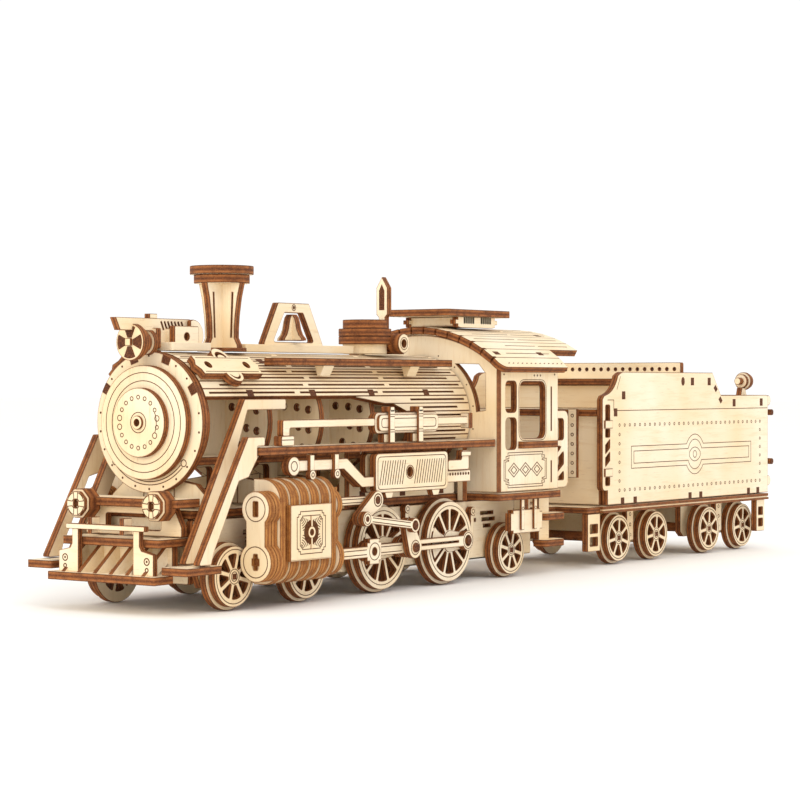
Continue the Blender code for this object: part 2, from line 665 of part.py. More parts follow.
def cab_floor():
    """The floor with its step boards, and the rear cross beam with the drawbar's upright pin."""
    floor = plate("XY", rectangle(129.9, -28.0, 162.6, 28.0), DECK_LOW, DECK_TOP)
    beam = plate("YZ", rectangle(-14.0, 6.5, 14.0, DECK_LOW + 0.5), 159.0, 161.0)
    shelf = plate("XY", [(160.0, -8.0), (166.0, -8.0), (173.0, -3.0), (173.0, 3.0),
                         (166.0, 8.0), (160.0, 8.0)],
                  11.4, 13.4)
    pin = rod("Z", (DRAWBAR_PIN, 0), 12.0, 18.6, 1.5, 12)
    parts = [beam, shelf, pin]
    for _, side in SIDES:
        low, high = across(side, 22.0, 24.0)
        parts.append(plate("XZ", rectangle(156.4, 9.0, 162.0, DECK_LOW + 0.5), low, high))
        low, high = across(side, 22.0, 27.0)
        parts.append(plate("XY", rectangle(155.6, low, 163.2, high), 15.4, 17.4))
        parts.append(plate("XY", rectangle(155.6, low, 163.2, high), 8.0, 10.0))
    make("cab_floor", union(floor, *parts), WARM_PLY)


# ---------------------------------------------------------------- tender

def tender_side(label, side):
    """The tender's side sheet with its curved shoulder and lowered tail."""
    outline = [(188.1, 18.7), (294.8, 18.7), (294.8, 51.2), (262.0, 51.2), (256.3, 58.5), (199.5, 58.5),
               (197.8, 58.0), *arc(188.6, 60.5, 9.0, -22, -70, 3), (189.0, 51.3), (188.1, 50.3)]
    slot = rounded(189.8, 21.6, 191.8, 48.2, 0.5, 1)
    make(f"tender_side_{label}", plate("XZ", outline, *across(side, 24.2, 26.2), [slot]), PALE_PLY)


def tender_frame():
    """The tender's floor with the bogie side plates, ladders and drawbar."""
    floor = plate("XY", rectangle(188.1, -26.6, 295.0, 26.6), 16.4, 18.4)
    platform = plate("XY", rectangle(173.6, -14.0, 188.6, 14.0), 16.5, 18.3)
    height = TENDER_RADIUS + FLANGE_STEP
    parts = []
    for _, side in SIDES:
        for pair in (TENDER_STATIONS[:2], TENDER_STATIONS[2:]):
            bores = [circle(s, height, AXLE_RADIUS + GAP, 8) for s in pair]
            outline = [(pair[0] - 8, 5.4), (pair[1] + 8, 5.4), (pair[1] + 8, 16.6), (pair[0] - 8, 16.6)]
            parts.append(plate("XZ", outline, *across(side, 13.0, 15.0), bores))
        low, high = across(side, 23.2, 25.2)
        ladders = ((181.4, 188.4, 5.2), (288.6, 294.4, 5.9))
        for front, rear, foot in ladders:
            hole = rectangle(front + 1.4, foot + 2.0, rear - 1.4, 14.0)
            parts.append(plate("XZ", rectangle(front, foot, rear, 16.6), low, high, [hole]))
        parts.append(plate("XY", rectangle(181.4, low, 190.0, high), 16.5, 18.3))
        inner, outer = across(side, 13.0, 24.0)
        parts.append(plate("XY", rectangle(184.0, inner, 190.0, outer), 16.5, 18.3))
    cross = [plate("YZ", rectangle(-13.5, 6.0, 13.5, 16.6), s, s + PLY) for s in (216.6, 273.8)]
    drawbar = plate("XY", capsule((DRAWBAR_PIN, 0), (181.0, 0), 3.4), 14.7, 16.7,
                    [circle(DRAWBAR_PIN, 0, 1.5 + GAP, 12)])
    make("tender_frame", union(floor, platform, drawbar, *parts, *cross), WARM_PLY,
         pivot=(DRAWBAR_PIN, 0, 15.7))


def tender_body():
    """Front bulkheads with their shelves, the coal deck and the rear wall with its lamp."""
    half = 23.8
    parts = [
        plate("YZ", rectangle(-half, 18.7, half, 45.6), 190.2, 192.2),
        plate("XY", rectangle(188.6, -half, 206.0, half), 45.2, 47.3),
        plate("YZ", rectangle(-half, 47.0, half, 54.9), 204.0, 206.0),
        plate("XY", rectangle(202.6, -half, 241.6, half), 54.6, 56.5),
        plate("YZ", rectangle(-half, 46.5, half, 61.7), 239.6, 241.6),
        plate("XY", rectangle(239.8, -half, 293.2, half), 46.4, 48.4),
        plate("YZ", rectangle(-half, 18.7, half, 51.2), 291.4, 293.4),
        plate("XZ", rectangle(290.0, 47.0, 295.2, 53.4), -18.4, -16.4),
    ]
    spine = plate("XZ", [(191.0, 18.7), (292.0, 18.7), (292.0, 47.0), (241.0, 47.0),
                         (241.0, 55.0), (205.0, 55.0),
                         (205.0, 46.0), (191.0, 46.0)], -1.0, 1.0)
    lamp = rod("X", (-17.4, 55.8), 292.2, 296.4, 3.0, 14)
    rails = [plate("XZ", [(293.0, 22.0), (298.6, 22.0), (298.6, 46.0), (293.0, 46.0)],
                   *across(side, 19.0, 21.0), [rectangle(294.6, 24.0, 297.0, 44.0)]) for _, side in SIDES]
    make("tender_body", union(parts[0], *parts[1:], spine, lamp, *rails), PALE_PLY)


# ---------------------------------------------------------------- assembly

def build():
    for item in list(bpy.data.objects):
        bpy.data.objects.remove(item)

    chassis_deck()
    pilot()
    front_step_board()
    lamp_beam()
    smokebox_ring()
    smokebox_door()
    headlamp_bracket()
    headlamp()
    boiler_shell()
    boiler_ribs()
    chimney()
    bell_frame()
    bell()
    steam_dome()
    whistle_post()
    cab_front_wall()
    cab_roof()
    roof_vent()
    cab_floor()
    for label, side in SIDES:
        chassis_side(label, side)
        marker_lamp(label, side)
        outer_brace(label, side)
        inner_brace(label, side)
        running_board(label, side)
        air_tank(label, side)
        brake_box(label, side)
        cab_side(label, side)
        cylinder_block(label, side)
        crosshead(label, side)
        valve_rod(label, side)
        coupling_rod(label, side)
        main_rod(label, side)
        eccentric_rod(label, side)
        tender_side(label, side)
    wheelset("bogie_wheelset_front", BOGIE_STATIONS[0], BOGIE_RADIUS, 8, 16)
    wheelset("bogie_wheelset_rear", BOGIE_STATIONS[1], BOGIE_RADIUS, 8, 16)
    driver_wheelset("driver_wheelset_front", FRONT_DRIVER, True)
    driver_wheelset("driver_wheelset_rear", REAR_DRIVER, False)
    wheelset("trailing_wheelset", TRAILING_STATION, TRAILING_RADIUS, 8, 16)
    tender_frame()
    tender_body()
    for number, station in enumerate(TENDER_STATIONS, start=1):
        wheelset(f"tender_wheelset_{number}", station, TENDER_RADIUS, 6, 16)


build()
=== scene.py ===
"""The looks of the laser-cut plywood steam locomotive and its tender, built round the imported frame.

Lengths are in millimetres. A station s is measured back from the front edge of the model, y is across it
and z is the height above the ground. Every plate is drawn as an outline in its own plane and given its
thickness there, with a scorched rim, as a laser leaves it.
"""

import json
import math
from collections import namedtuple

import bmesh
import bpy
from mathutils import Euler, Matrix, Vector
from mathutils.geometry import tessellate_polygon


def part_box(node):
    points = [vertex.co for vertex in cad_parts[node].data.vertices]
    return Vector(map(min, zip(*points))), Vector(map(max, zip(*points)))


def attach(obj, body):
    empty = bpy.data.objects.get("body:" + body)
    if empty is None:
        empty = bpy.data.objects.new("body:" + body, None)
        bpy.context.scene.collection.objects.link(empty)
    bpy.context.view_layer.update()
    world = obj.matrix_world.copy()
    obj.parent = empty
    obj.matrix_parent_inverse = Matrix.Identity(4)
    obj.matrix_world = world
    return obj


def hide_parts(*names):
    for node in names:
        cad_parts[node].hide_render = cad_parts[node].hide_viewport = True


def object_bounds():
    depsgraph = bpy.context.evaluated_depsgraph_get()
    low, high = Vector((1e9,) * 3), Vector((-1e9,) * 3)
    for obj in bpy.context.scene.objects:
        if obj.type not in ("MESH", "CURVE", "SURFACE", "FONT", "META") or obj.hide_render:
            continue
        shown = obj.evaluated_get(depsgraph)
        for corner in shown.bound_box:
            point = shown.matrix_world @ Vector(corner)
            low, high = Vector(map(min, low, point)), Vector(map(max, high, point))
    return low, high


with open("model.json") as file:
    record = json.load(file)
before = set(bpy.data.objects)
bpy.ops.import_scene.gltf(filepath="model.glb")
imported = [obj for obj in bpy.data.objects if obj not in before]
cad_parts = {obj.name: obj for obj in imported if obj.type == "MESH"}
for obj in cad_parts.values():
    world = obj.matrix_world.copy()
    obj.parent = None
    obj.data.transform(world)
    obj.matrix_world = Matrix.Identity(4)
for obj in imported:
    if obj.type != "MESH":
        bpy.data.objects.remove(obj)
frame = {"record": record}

CAD_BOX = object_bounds()
MM = 0.001
FRONT = CAD_BOX[0].x / MM
GROUND = CAD_BOX[0].z / MM
BEHAVIOUR = frame["record"]["behaviour"]
BODY_OF_NODE = {node: body for body, nodes in BEHAVIOUR["bodies"].items() for node in nodes}

PLY = 2.0            # thickness of the plywood sheet
CHAMFER = 0.10       # worn arris of a cut edge
HALO = 0.30          # scorched margin round a cut
SLIM = 0.20          # the same on a small part
LINE = 0.28          # width of an engraved line
FINE, FINER, HAIR = 0.22, 0.20, 0.18    # widths of finer ones
PROUD = 0.04         # how far a drawn line stands off its face
SUNK = 0.15          # how far it reaches into the sheet
GAP = 0.16           # dark line round the end of a tab
KERF = 0.42          # width of a slit cut through a sheet

PALE_RIM = 0.12      # how burnt a rim is that keeps the colour of the face
LIP_BURN = 0.85      # how burnt the arris is beside a full rim

# The third slot holds both engraved lines and painted shade.
FACE, EDGE, ENGRAVED_AND_SHADE = 0, 1, 2          # material slots of every piece
SIDES = (("left", -1), ("right", 1))


Box = namedtuple("Box", "s0 s1 y0 y1 z0 z1")


def extent(node):
    """Station, y and height limits of a CAD node."""
    low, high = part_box(node)
    return Box(low.x / MM - FRONT, high.x / MM - FRONT, low.y / MM, high.y / MM, low.z / MM, high.z / MM)


# ---------------------------------------------------------------- outlines

def arc(centre, radius, start, end, steps):
    """Points round an arc, angles in degrees, both ends included."""
    turn = (end - start) / steps
    angles = [math.radians(start + turn * i) for i in range(steps + 1)]
    return [(centre[0] + radius * math.cos(a), centre[1] + radius * math.sin(a)) for a in angles]


def circle(centre, radius, steps=24):
    """A closed circle."""
    return arc(centre, radius, 0, 360 - 360 / steps, steps - 1)


def rectangle(u0, v0, u1, v1):
    """A closed rectangle."""
    return [(u0, v0), (u1, v0), (u1, v1), (u0, v1)]


def rounded(points, radius, steps=4):
    """The outline with each of its corners rounded off."""
    result = []
    count = len(points)
    for i in range(count):
        corner = Vector(points[i])
        before = Vector(points[i - 1]) - corner
        after = Vector(points[(i + 1) % count]) - corner
        angle = before.angle(after)
        reach = min(radius / math.tan(angle / 2), before.length * 0.48, after.length * 0.48)
        start = corner + before.normalized() * reach
        end = corner + after.normalized() * reach
        for k in range(steps + 1):
            t = k / steps
            point = start * (1 - t) ** 2 + corner * 2 * t * (1 - t) + end * t ** 2
            result.append((point.x, point.y))
    return result


def rounded_box(u0, v0, u1, v1, radius, steps=4):
    """A rectangle with rounded corners."""
    return rounded(rectangle(u0, v0, u1, v1), radius, steps)


def capsule(a, b, radius, steps=8):
    """Two half circles joined by straight sides."""
    angle = math.degrees(math.atan2(b[1] - a[1], b[0] - a[0]))
    return arc(a, radius, angle + 90, angle + 270, steps) + arc(b, radius, angle - 90, angle + 90, steps)


def slit(a, b, width=KERF):
    """A narrow square-ended cut from a to b."""
    along = (Vector(b) - Vector(a)).normalized()
    side = Vector((-along.y, along.x)) * (width / 2)
    a, b = Vector(a), Vector(b)
    return [tuple(p) for p in (a - side, b - side, b + side, a + side)]


def dashes(start, stop, dash, gap):
    """Ends of evenly spread dashes between two stations."""
    count = max(1, round((stop - start + gap) / (dash + gap)))
    pitch = (stop - start + gap) / count
    return [(start + pitch * i, start + pitch * (i + 1) - gap) for i in range(count)]


def spread(start, stop, count):
    """Evenly spaced values with both ends included."""
    return [start + (stop - start) * i / (count - 1) for i in range(count)]


def mirrored(points):
    """The outline with its first coordinate turned round."""
    return [(-u, v) for u, v in reversed(points)]


def area(points):
    """Signed area, positive when the outline runs anticlockwise."""
    total = sum(points[i - 1][0] * points[i][1] - points[i][0] * points[i - 1][1] for i in range(len(points)))
    return total / 2


def moved_in(points, distance):
    """The outline shifted to its left by a distance, with sharp corners held back."""
    result = []
    count = len(points)
    for i in range(count):
        here = Vector(points[i])
        into = (here - Vector(points[i - 1])).normalized()
        out = (Vector(points[(i + 1) % count]) - here).normalized()
        left_in = Vector((-into.y, into.x))
        left_out = Vector((-out.y, out.x))
        middle = left_in + left_out
        if middle.length < 0.3:
            middle = left_in
        middle.normalize()
        stretch = min(1.6, 1 / max(0.35, middle.dot(left_in)))
        result.append(tuple(here + middle * distance * stretch))
    return result


def place(plane, u, v, level):
    """A point of a plane's own coordinates as a station, y and height."""
    if callable(plane):
        return plane(u, v, level)
    if plane == "XZ":
        return (u, level, v)
    if plane == "XY":
        return (u, v, level)
    return (level, u, v)


# ---------------------------------------------------------------- pieces

class Piece:
    """One visual piece: plates, discs and drawn lines gathered into one mesh that stands for a CAD node."""

    def __init__(self, name, node, grain, slot, rim):
        self.name = name
        self.node = node
        self.box = extent(node)
        self.grain = grain
        self.slot = slot
        self.rim = rim or BURNT
        self.points = []
        self.faces = []
        self.kinds = []
        self.burn = []
        self.ply = []

    def ring(self, plane, outline, level, burn, ply):
        """Adds a loop of points and returns their numbers."""
        first = len(self.points)
        for u, v in outline:
            self.points.append(place(plane, u, v, level))
            self.burn.append(burn)
            self.ply.append(ply)
        return list(range(first, first + len(outline)))

    def band(self, a, b, kind):
        """Joins two loops with quads."""
        for i in range(len(a)):
            self.faces.append((a[i - 1], a[i], b[i], b[i - 1]))
            self.kinds.append(kind)

    def plate(self, plane, outline, low, high, holes=(), kind=FACE, rim=EDGE, halo=HALO, chamfer=CHAMFER):
        """A flat plate between two levels, with holes, burnt walls and scorched margins on both faces."""
        low, high = min(low, high), max(low, high)
        outlines = [outline if area(outline) > 0 else outline[::-1]]
        outlines += [hole if area(hole) < 0 else hole[::-1] for hole in holes]
        caps = {low: [], high: []}
        scorch = 1.0 if rim == EDGE else PALE_RIM
        for loop in outlines:
            edge = moved_in(loop, chamfer)
            inner = moved_in(loop, chamfer + halo)
            walls = []
            for level, inside, ply in ((low, low + chamfer, 0.0), (high, high - chamfer, 1.0)):
                wall = self.ring(plane, loop, inside, scorch, ply)
                lip = self.ring(plane, edge, level, LIP_BURN * scorch, ply)
                margin = self.ring(plane, inner, level, 0.0, ply)
                self.band(wall, lip, rim)
                self.band(lip, margin, kind)
                caps[level].append((inner, margin))
                walls.append(wall)
            self.band(walls[0], walls[1], rim)
        for loops in caps.values():
            flat = [[Vector((u, v, 0)) for u, v in inner] for inner, margin in loops]
            numbers = [number for inner, margin in loops for number in margin]
            for triangle in tessellate_polygon(flat):
                self.faces.append(tuple(numbers[i] for i in triangle))
                self.kinds.append(kind)
        return self

    def solid(self, plane, outline, low, high, kind=ENGRAVED_AND_SHADE, burn=0.0):
        """A plain prism of one material, for drawn lines, dots, tab ends and painted shade."""
        first = self.ring(plane, outline, low, burn, 0.0)
        second = self.ring(plane, outline, high, burn, 1.0)
        self.band(first, second, kind)
        flat = [[Vector((u, v, 0)) for u, v in outline]]
        for triangle in tessellate_polygon(flat):
            self.faces.append(tuple(first[i] for i in triangle))
            self.faces.append(tuple(second[i] for i in triangle))
            self.kinds += [kind, kind]
        return self

    def layer(self, side, outline, inner, outer, holes=(), **options):
        """An upright plate along one side of the model, between two distances from the middle."""
        return self.plate("XZ", outline, side * inner, side * outer, holes, **options)

    def disc(self, plane, centre, radius, low, high, holes=(), steps=32, **options):
        """A round plate."""
        return self.plate(plane, circle(centre, radius, steps), low, high, holes, **options)

    def line(self, plane, level, side, points, closed=False, width=LINE, kind=ENGRAVED_AND_SHADE):
        """An engraved line along points, drawn a hair proud of the face at that level. side is +1 or -1."""
        half = width / 2
        base, top = level - side * SUNK, level + side * PROUD
        count = len(points)
        left, right = [], []
        for i in range(count):
            here = Vector(points[i])
            before = Vector(points[i - 1]) if (i or closed) else here
            after = Vector(points[(i + 1) % count]) if (i < count - 1 or closed) else here
            into = (here - before).normalized() if (here - before).length else (after - here).normalized()
            out = (after - here).normalized() if (after - here).length else into
            across = Vector((-into.y - out.y, into.x + out.x))
            if across.length < 0.2:
                across = Vector((-into.y, into.x))
            across.normalize()
            reach = half / max(0.45, across.dot(Vector((-into.y, into.x))))
            left.append(tuple(here + across * reach))
            right.append(tuple(here - across * reach))
        rings = [self.ring(plane, loop, at, 0.0, 0.5) for loop in (left, right) for at in (base, top)]
        a, b, c, d = rings
        last = count if closed else count - 1
        for i in range(last):
            j = (i + 1) % count
            for p, q in ((a, b), (b, d), (d, c), (c, a)):
                self.faces.append((p[i], p[j], q[j], q[i]))
                self.kinds.append(kind)
        if not closed:
            for i in (0, count - 1):
                self.faces.append((a[i], b[i], d[i], c[i]))
                self.kinds.append(kind)
        return self

    def dot(self, plane, level, side, centre, radius=0.32, kind=ENGRAVED_AND_SHADE, steps=8):
        """A small burnt dot on a face."""
        base, top = level - side * SUNK, level + side * PROUD
        return self.solid(plane, circle(centre, radius, steps), base, top, kind)

    def loop(self, plane, level, side, centre, radius, width=LINE, steps=28):
        """An engraved circle."""
        return self.line(plane, level, side, circle(centre, radius, steps), True, width)

    def tab(self, plane, level, side, u0, v0, u1, v1, proud=0.06):
        """The burnt end of a tab showing in its slot, with a dark line of shadow round it."""
        shadow = rectangle(u0 - GAP, v0 - GAP, u1 + GAP, v1 + GAP)
        self.solid(plane, shadow, level - side * 0.2, level + side * 0.02)
        return self.solid(plane, rectangle(u0, v0, u1, v1), level - side * 0.3, level + side * proud, EDGE)

    def rod(self, axis, centre, radius, low, high, steps=16, kind=EDGE, hole=0.0):
        """A dowel, or a tube when it has a hole, along X, Y or Z."""
        plane = {"X": "YZ", "Y": "XZ", "Z": "XY"}[axis]
        holes = [circle(centre, hole, steps)] if hole else []
        return self.plate(plane, circle(centre, radius, steps), low, high, holes, kind, kind, 0.05, 0.06)

    def done(self):
        """Makes the object, with its materials, and lets it stand for its CAD node."""
        mesh = bpy.data.meshes.new(self.name)
        places = [((s + FRONT) * MM, y * MM, (z + GROUND) * MM) for s, y, z in self.points]
        mesh.from_pydata(places, [], self.faces)
        mesh.polygons.foreach_set("material_index", self.kinds)
        for title, values in (("burn", self.burn), ("ply", self.ply)):
            layer = mesh.attributes.new(title, "FLOAT", "POINT")
            layer.data.foreach_set("value", values)
        work = bmesh.new()
        work.from_mesh(mesh)
        bmesh.ops.recalc_face_normals(work, faces=work.faces)
        work.to_mesh(mesh)
        work.free()
        for material in (WOOD[self.grain], self.rim, ENGRAVING_AND_SHADE):
            mesh.materials.append(material)
        item = bpy.data.objects.new(self.name, mesh)
        bpy.context.scene.collection.objects.link(item)
        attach(item, BODY_OF_NODE[self.node])
        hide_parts(self.node)


BUILDERS = []


def draws(node, name, grain, slot="pale_plywood", rim=None):
    """Registers a function as the one that draws the piece for a CAD node."""
    def register(draw):
        BUILDERS.append((draw, (), name, node, grain, slot, rim))
        return draw

    return register


def draws_pair(node, suffix, grain, slot="pale_plywood", rim=None):
    """Registers a function that draws one piece on the left and one on the right."""
    def register(draw):
        for label, side in SIDES:
            name = node + "_" + label
            BUILDERS.append((draw, (side,), name + "_" + suffix, name, grain, slot, rim))
        return draw

    return register


# ---------------------------------------------------------------- materials

def linear(red, green, blue):
    """A display colour, 0 to 255, as the linear colour that a shader takes."""
    return tuple(((c / 255 + 0.055) / 1.055) ** 2.4 for c in (red, green, blue)) + (1.0,)


PALE = linear(245, 230, 203)
PALE_WARM = linear(237, 211, 168)
PALE_STREAK = linear(223, 191, 143)
SCORCH = linear(150, 96, 48)
BURNT_LIGHT = linear(172, 108, 58)
BURNT_MIDDLE = linear(132, 76, 38)
BURNT_DARK = linear(78, 40, 20)
ORANGE_LIGHT = linear(192, 134, 70)
ORANGE_MIDDLE = linear(168, 105, 48)
ORANGE_DARK = linear(118, 66, 28)
LINE_AND_SHADE_BROWN = linear(98, 60, 30)


class Shader:
    """A node material under construction."""

    def __init__(self, name, roughness, specular):
        self.material = bpy.data.materials.new(name)
        self.material.use_nodes = True
        self.tree = self.material.node_tree
        self.principled = self.tree.nodes["Principled BSDF"]
        self.principled.inputs["Roughness"].default_value = roughness
        self.principled.inputs["Specular IOR Level"].default_value = specular
        self.place = self.tree.nodes.new("ShaderNodeTexCoord").outputs["Object"]

    def join(self, output, target):
        """Links an output socket to an input socket."""
        self.tree.links.new(output, target)

    def noise(self, stretch, scale, detail=3.0, rough=0.55):
        """Noise over the piece's own coordinates, stretched along its grain."""
        mapping = self.tree.nodes.new("ShaderNodeMapping")
        mapping.inputs["Scale"].default_value = stretch
        self.join(self.place, mapping.inputs["Vector"])
        texture = self.tree.nodes.new("ShaderNodeTexNoise")
        texture.inputs["Scale"].default_value = scale
        texture.inputs["Detail"].default_value = detail
        texture.inputs["Roughness"].default_value = rough
        self.join(mapping.outputs["Vector"], texture.inputs["Vector"])
        return texture.outputs["Fac"]

    def ramp(self, value, stops):
        """A colour ramp of (position, colour) stops."""
        node = self.tree.nodes.new("ShaderNodeValToRGB")
        elements = node.color_ramp.elements
        while len(elements) < len(stops):
            elements.new(0.5)
        for element, (position, colour) in zip(elements, stops):
            element.position = position
            element.color = colour
        self.join(value, node.inputs["Fac"])
        return node.outputs["Color"]

    def mix(self, factor, first, second, blend="MIX"):
        """Mixes two colours by a factor, each a socket or a constant."""
        node = self.tree.nodes.new("ShaderNodeMix")
        node.data_type = "RGBA"
        node.blend_type = blend
        sockets = {"factor": node.inputs[0], "first": node.inputs[6], "second": node.inputs[7]}
        for key, value in (("factor", factor), ("first", first), ("second", second)):
            if isinstance(value, bpy.types.NodeSocket):
                self.join(value, sockets[key])
            else:
                sockets[key].default_value = value
        return node.outputs[2]

    def steps(self, value, low, high, to_low=0.0, to_high=1.0):
        """A value mapped from one range to another and clamped."""
        node = self.tree.nodes.new("ShaderNodeMapRange")
        node.inputs["From Min"].default_value = low
        node.inputs["From Max"].default_value = high
        node.inputs["To Min"].default_value = to_low
        node.inputs["To Max"].default_value = to_high
        self.join(value, node.inputs["Value"])
        return node.outputs["Result"]

    def attribute(self, name):
        """A value stored on the mesh."""
        node = self.tree.nodes.new("ShaderNodeAttribute")
        node.attribute_name = name
        return node.outputs["Fac"]

    def finish(self, colour, height, depth, roughness=None):
        """Connects the colour and a bump, and returns the material."""
        self.join(colour, self.principled.inputs["Base Color"])
        if roughness is not None:
            self.join(roughness, self.principled.inputs["Roughness"])
        bump = self.tree.nodes.new("ShaderNodeBump")
        bump.inputs["Strength"].default_value = 0.6
        bump.inputs["Distance"].default_value = depth
        self.join(height, bump.inputs["Height"])
        self.join(bump.outputs["Normal"], self.principled.inputs["Normal"])
        return self.material


def grain_stretch(axis):
    """Scales that draw noise out along the grain."""
    return {"x": (0.09, 1, 1), "y": (1, 0.09, 1), "z": (1, 1, 0.09)}[axis]


def pale_colour(shader, axis):
    """Pale birch: warm clouds, long streaks and fine dark pores."""
    stretch = grain_stretch(axis)
    clouds = shader.noise((1, 1, 1), 38, 2.0)
    streaks = shader.noise(stretch, 900, 4.0, 0.6)
    pores = shader.noise(stretch, 2600, 2.0, 0.7)
    base = shader.mix(shader.steps(clouds, 0.35, 0.7), PALE, PALE_WARM)
    base = shader.mix(shader.steps(streaks, 0.52, 0.78, 0.0, 0.5), base, PALE_STREAK)
    base = shader.mix(shader.steps(pores, 0.62, 0.8, 0.0, 0.35), base, SCORCH)
    return base, streaks


def make_face(axis):
    """The sheet's face, browned along each cut."""
    shader = Shader("birch_face_" + axis, 0.62, 0.3)
    colour, streaks = pale_colour(shader, axis)
    ragged = shader.noise((1, 1, 1), 2200, 2.0)
    burn = shader.attribute("burn")
    reach = shader.tree.nodes.new("ShaderNodeMath")
    reach.operation = "MULTIPLY_ADD"
    shader.join(ragged, reach.inputs[0])
    reach.inputs[1].default_value = 0.5
    shader.join(burn, reach.inputs[2])
    amount = shader.steps(reach.outputs["Value"], 0.45, 1.25, 0.0, 0.9)
    colour = shader.mix(amount, colour, SCORCH)
    rough = shader.steps(streaks, 0.3, 0.8, 0.55, 0.72)
    return shader.finish(colour, streaks, 0.00006, rough)


def make_edge(name, light, middle, dark):
    """The laser-cut wall: charred bands of the plies with streaks of soot."""
    shader = Shader(name, 0.7, 0.25)
    ply = shader.attribute("ply")
    bands = shader.ramp(ply, [(0.0, dark), (0.14, light), (0.34, middle), (0.5, dark),
                              (0.66, middle), (0.86, light), (1.0, dark)])
    soot = shader.noise((1, 1, 1), 420, 5.0, 0.65)
    fine = shader.noise((1, 1, 1), 3200, 2.0)
    colour = shader.mix(shader.steps(soot, 0.42, 0.66, 0.0, 0.8), bands, dark)
    colour = shader.mix(shader.steps(fine, 0.45, 0.75, 0.0, 0.45), colour, light)
    return shader.finish(colour, fine, 0.0001)


def make_line_and_shade():
    """The brown of an engraved line or a pierced dot, also used as painted shade round tab ends and behind
    the roof vent's slots.
    """
    shader = Shader("engraved_line_and_painted_shade", 0.8, 0.15)
    soot = shader.noise((1, 1, 1), 1800, 3.0)
    colour = shader.mix(shader.steps(soot, 0.35, 0.7), LINE_AND_SHADE_BROWN, BURNT_DARK)
    return shader.finish(colour, soot, 0.00005)


WOOD = {axis: make_face(axis) for axis in "xyz"}
BURNT = make_edge("burnt_edge", BURNT_LIGHT, BURNT_MIDDLE, BURNT_DARK)
ORANGE = make_edge("burnt_orange_edge", ORANGE_LIGHT, ORANGE_MIDDLE, ORANGE_DARK)
ENGRAVING_AND_SHADE = make_line_and_shade()


# ---------------------------------------------------------------- shared places

RING = extent("smokebox_ring")
BOILER_AXIS = (RING.z0 + RING.z1) / 2
BOILER_RADIUS = (RING.z1 - RING.z0) / 2
SHELL = extent("boiler_shell")
FOOT = extent("bell_frame").z0
DECK_TOP = extent("chassis_deck").z1
BOARD = extent("running_board_right")


def across(side, inner, outer):
    """Levels of a layer on one side of the model."""
    return (side * inner, side * outer)


def polar(centre, radius, degrees):
    """A point at an angle round a centre."""
    a = math.radians(degrees)
    return (centre[0] + radius * math.cos(a), centre[1] + radius * math.sin(a))


def wrapped(axis, degrees):
    """A plane wrapped round a lengthwise axis: station, run along the skin, distance from the axis."""
    sine, cosine = math.sin(math.radians(degrees)), math.cos(math.radians(degrees))

    def at(u, v, level):
        return (u, level * sine + v * cosine, axis + level * cosine - v * sine)

    return at


def notched(u0, v0, u1, v1, cut):
    """A frame outline with its corners cut back in steps."""
    half = cut / 2
    points = []
    for u, v, du, dv in ((u0, v0, 1, 1), (u1, v0, -1, 1), (u1, v1, -1, -1), (u0, v1, 1, -1)):
        corner = [(u, v + dv * cut), (u + du * half, v + dv * cut), (u + du * half, v + dv * half),
                  (u + du * cut, v + dv * half), (u + du * cut, v)]
        points += corner if du == dv else corner[::-1]
    return points


# ---------------------------------------------------------------- front end

@draws("pilot", "pilot_woodwork", "y")
def pilot(piece):
    """The cowcatcher, with its foot board, buffer beam, ribs, stand and the thin rail in front."""
    box = piece.box
    piece.plate("XY", rounded_box(box.s0, box.y0, 7.0, box.y1, 0.5), box.z0, box.z0 + PLY)
    slots = [rectangle(9.6, y - 1.2, 11.0, y + 1.2) for y in (-9.0, 9.0)]
    piece.plate("XY", rounded_box(3.6, -15.7, box.s1, 15.7, 0.5), box.z1 - PLY, box.z1, slots)
    for i in range(6):
        y = -13.0 + 5.2 * i
        piece.plate("XZ", [(0.6, 9.3), (5.4, 9.3), (10.6, 12.8), (10.6, 16.1), (8.6, 16.1)], y - 0.6, y + 0.6)
    piece.plate("YZ", rectangle(-15.0, 9.6, 15.0, 16.1), 9.2, 11.2)
    for side in (-1, 1):
        cheek = [(8.9, 9.4), (15.4, 9.4), (15.4, 14.6), (11.6, 15.4), (11.0, 16.4), (11.0, 20.2), (8.9, 20.2),
                 (8.9, 16.4), (8.9, 15.4)]
        cheek = cheek if side > 0 else mirrored(cheek)
        piece.plate("YZ", cheek, 2.0, 3.5)
        piece.loop("YZ", 2.0, -1, (side * 13.3, 12.9), 0.8)
        piece.dot("YZ", 2.0, -1, (side * 13.3, 12.9), 0.3)
        piece.loop("YZ", 2.0, -1, (side * 13.3, 10.9), 0.45)
        piece.plate("XZ", rectangle(2.0, 18.9, 5.0, 22.9), side * 5.2 - 0.7, side * 5.2 + 0.7, halo=SLIM)
    piece.plate("YZ", rounded_box(-12.8, 19.9, 12.8, 21.2, 0.3), 1.7, 3.3, halo=SLIM)


@draws("front_step_board", "front_step", "y")
def front_step_board(piece):
    """The wide step board under the stays."""
    box = piece.box
    notch = 17.9
    outline = [*rectangle(box.s0, box.y0, box.s1, box.y1), (box.s0, notch), (11.6, notch), (11.6, -notch),
               (box.s0, -notch)]
    piece.plate("XY", rounded(outline, 0.6), box.z0, box.z1)
    for side in (-1, 1):
        piece.tab("XY", box.z1, 1, 7.0, side * 24.6 - 1, 10.6, side * 24.6 + 1)
        piece.line("XY", box.z1, 1, [(3.0, side * 19.5), (11.0, side * 19.5)])


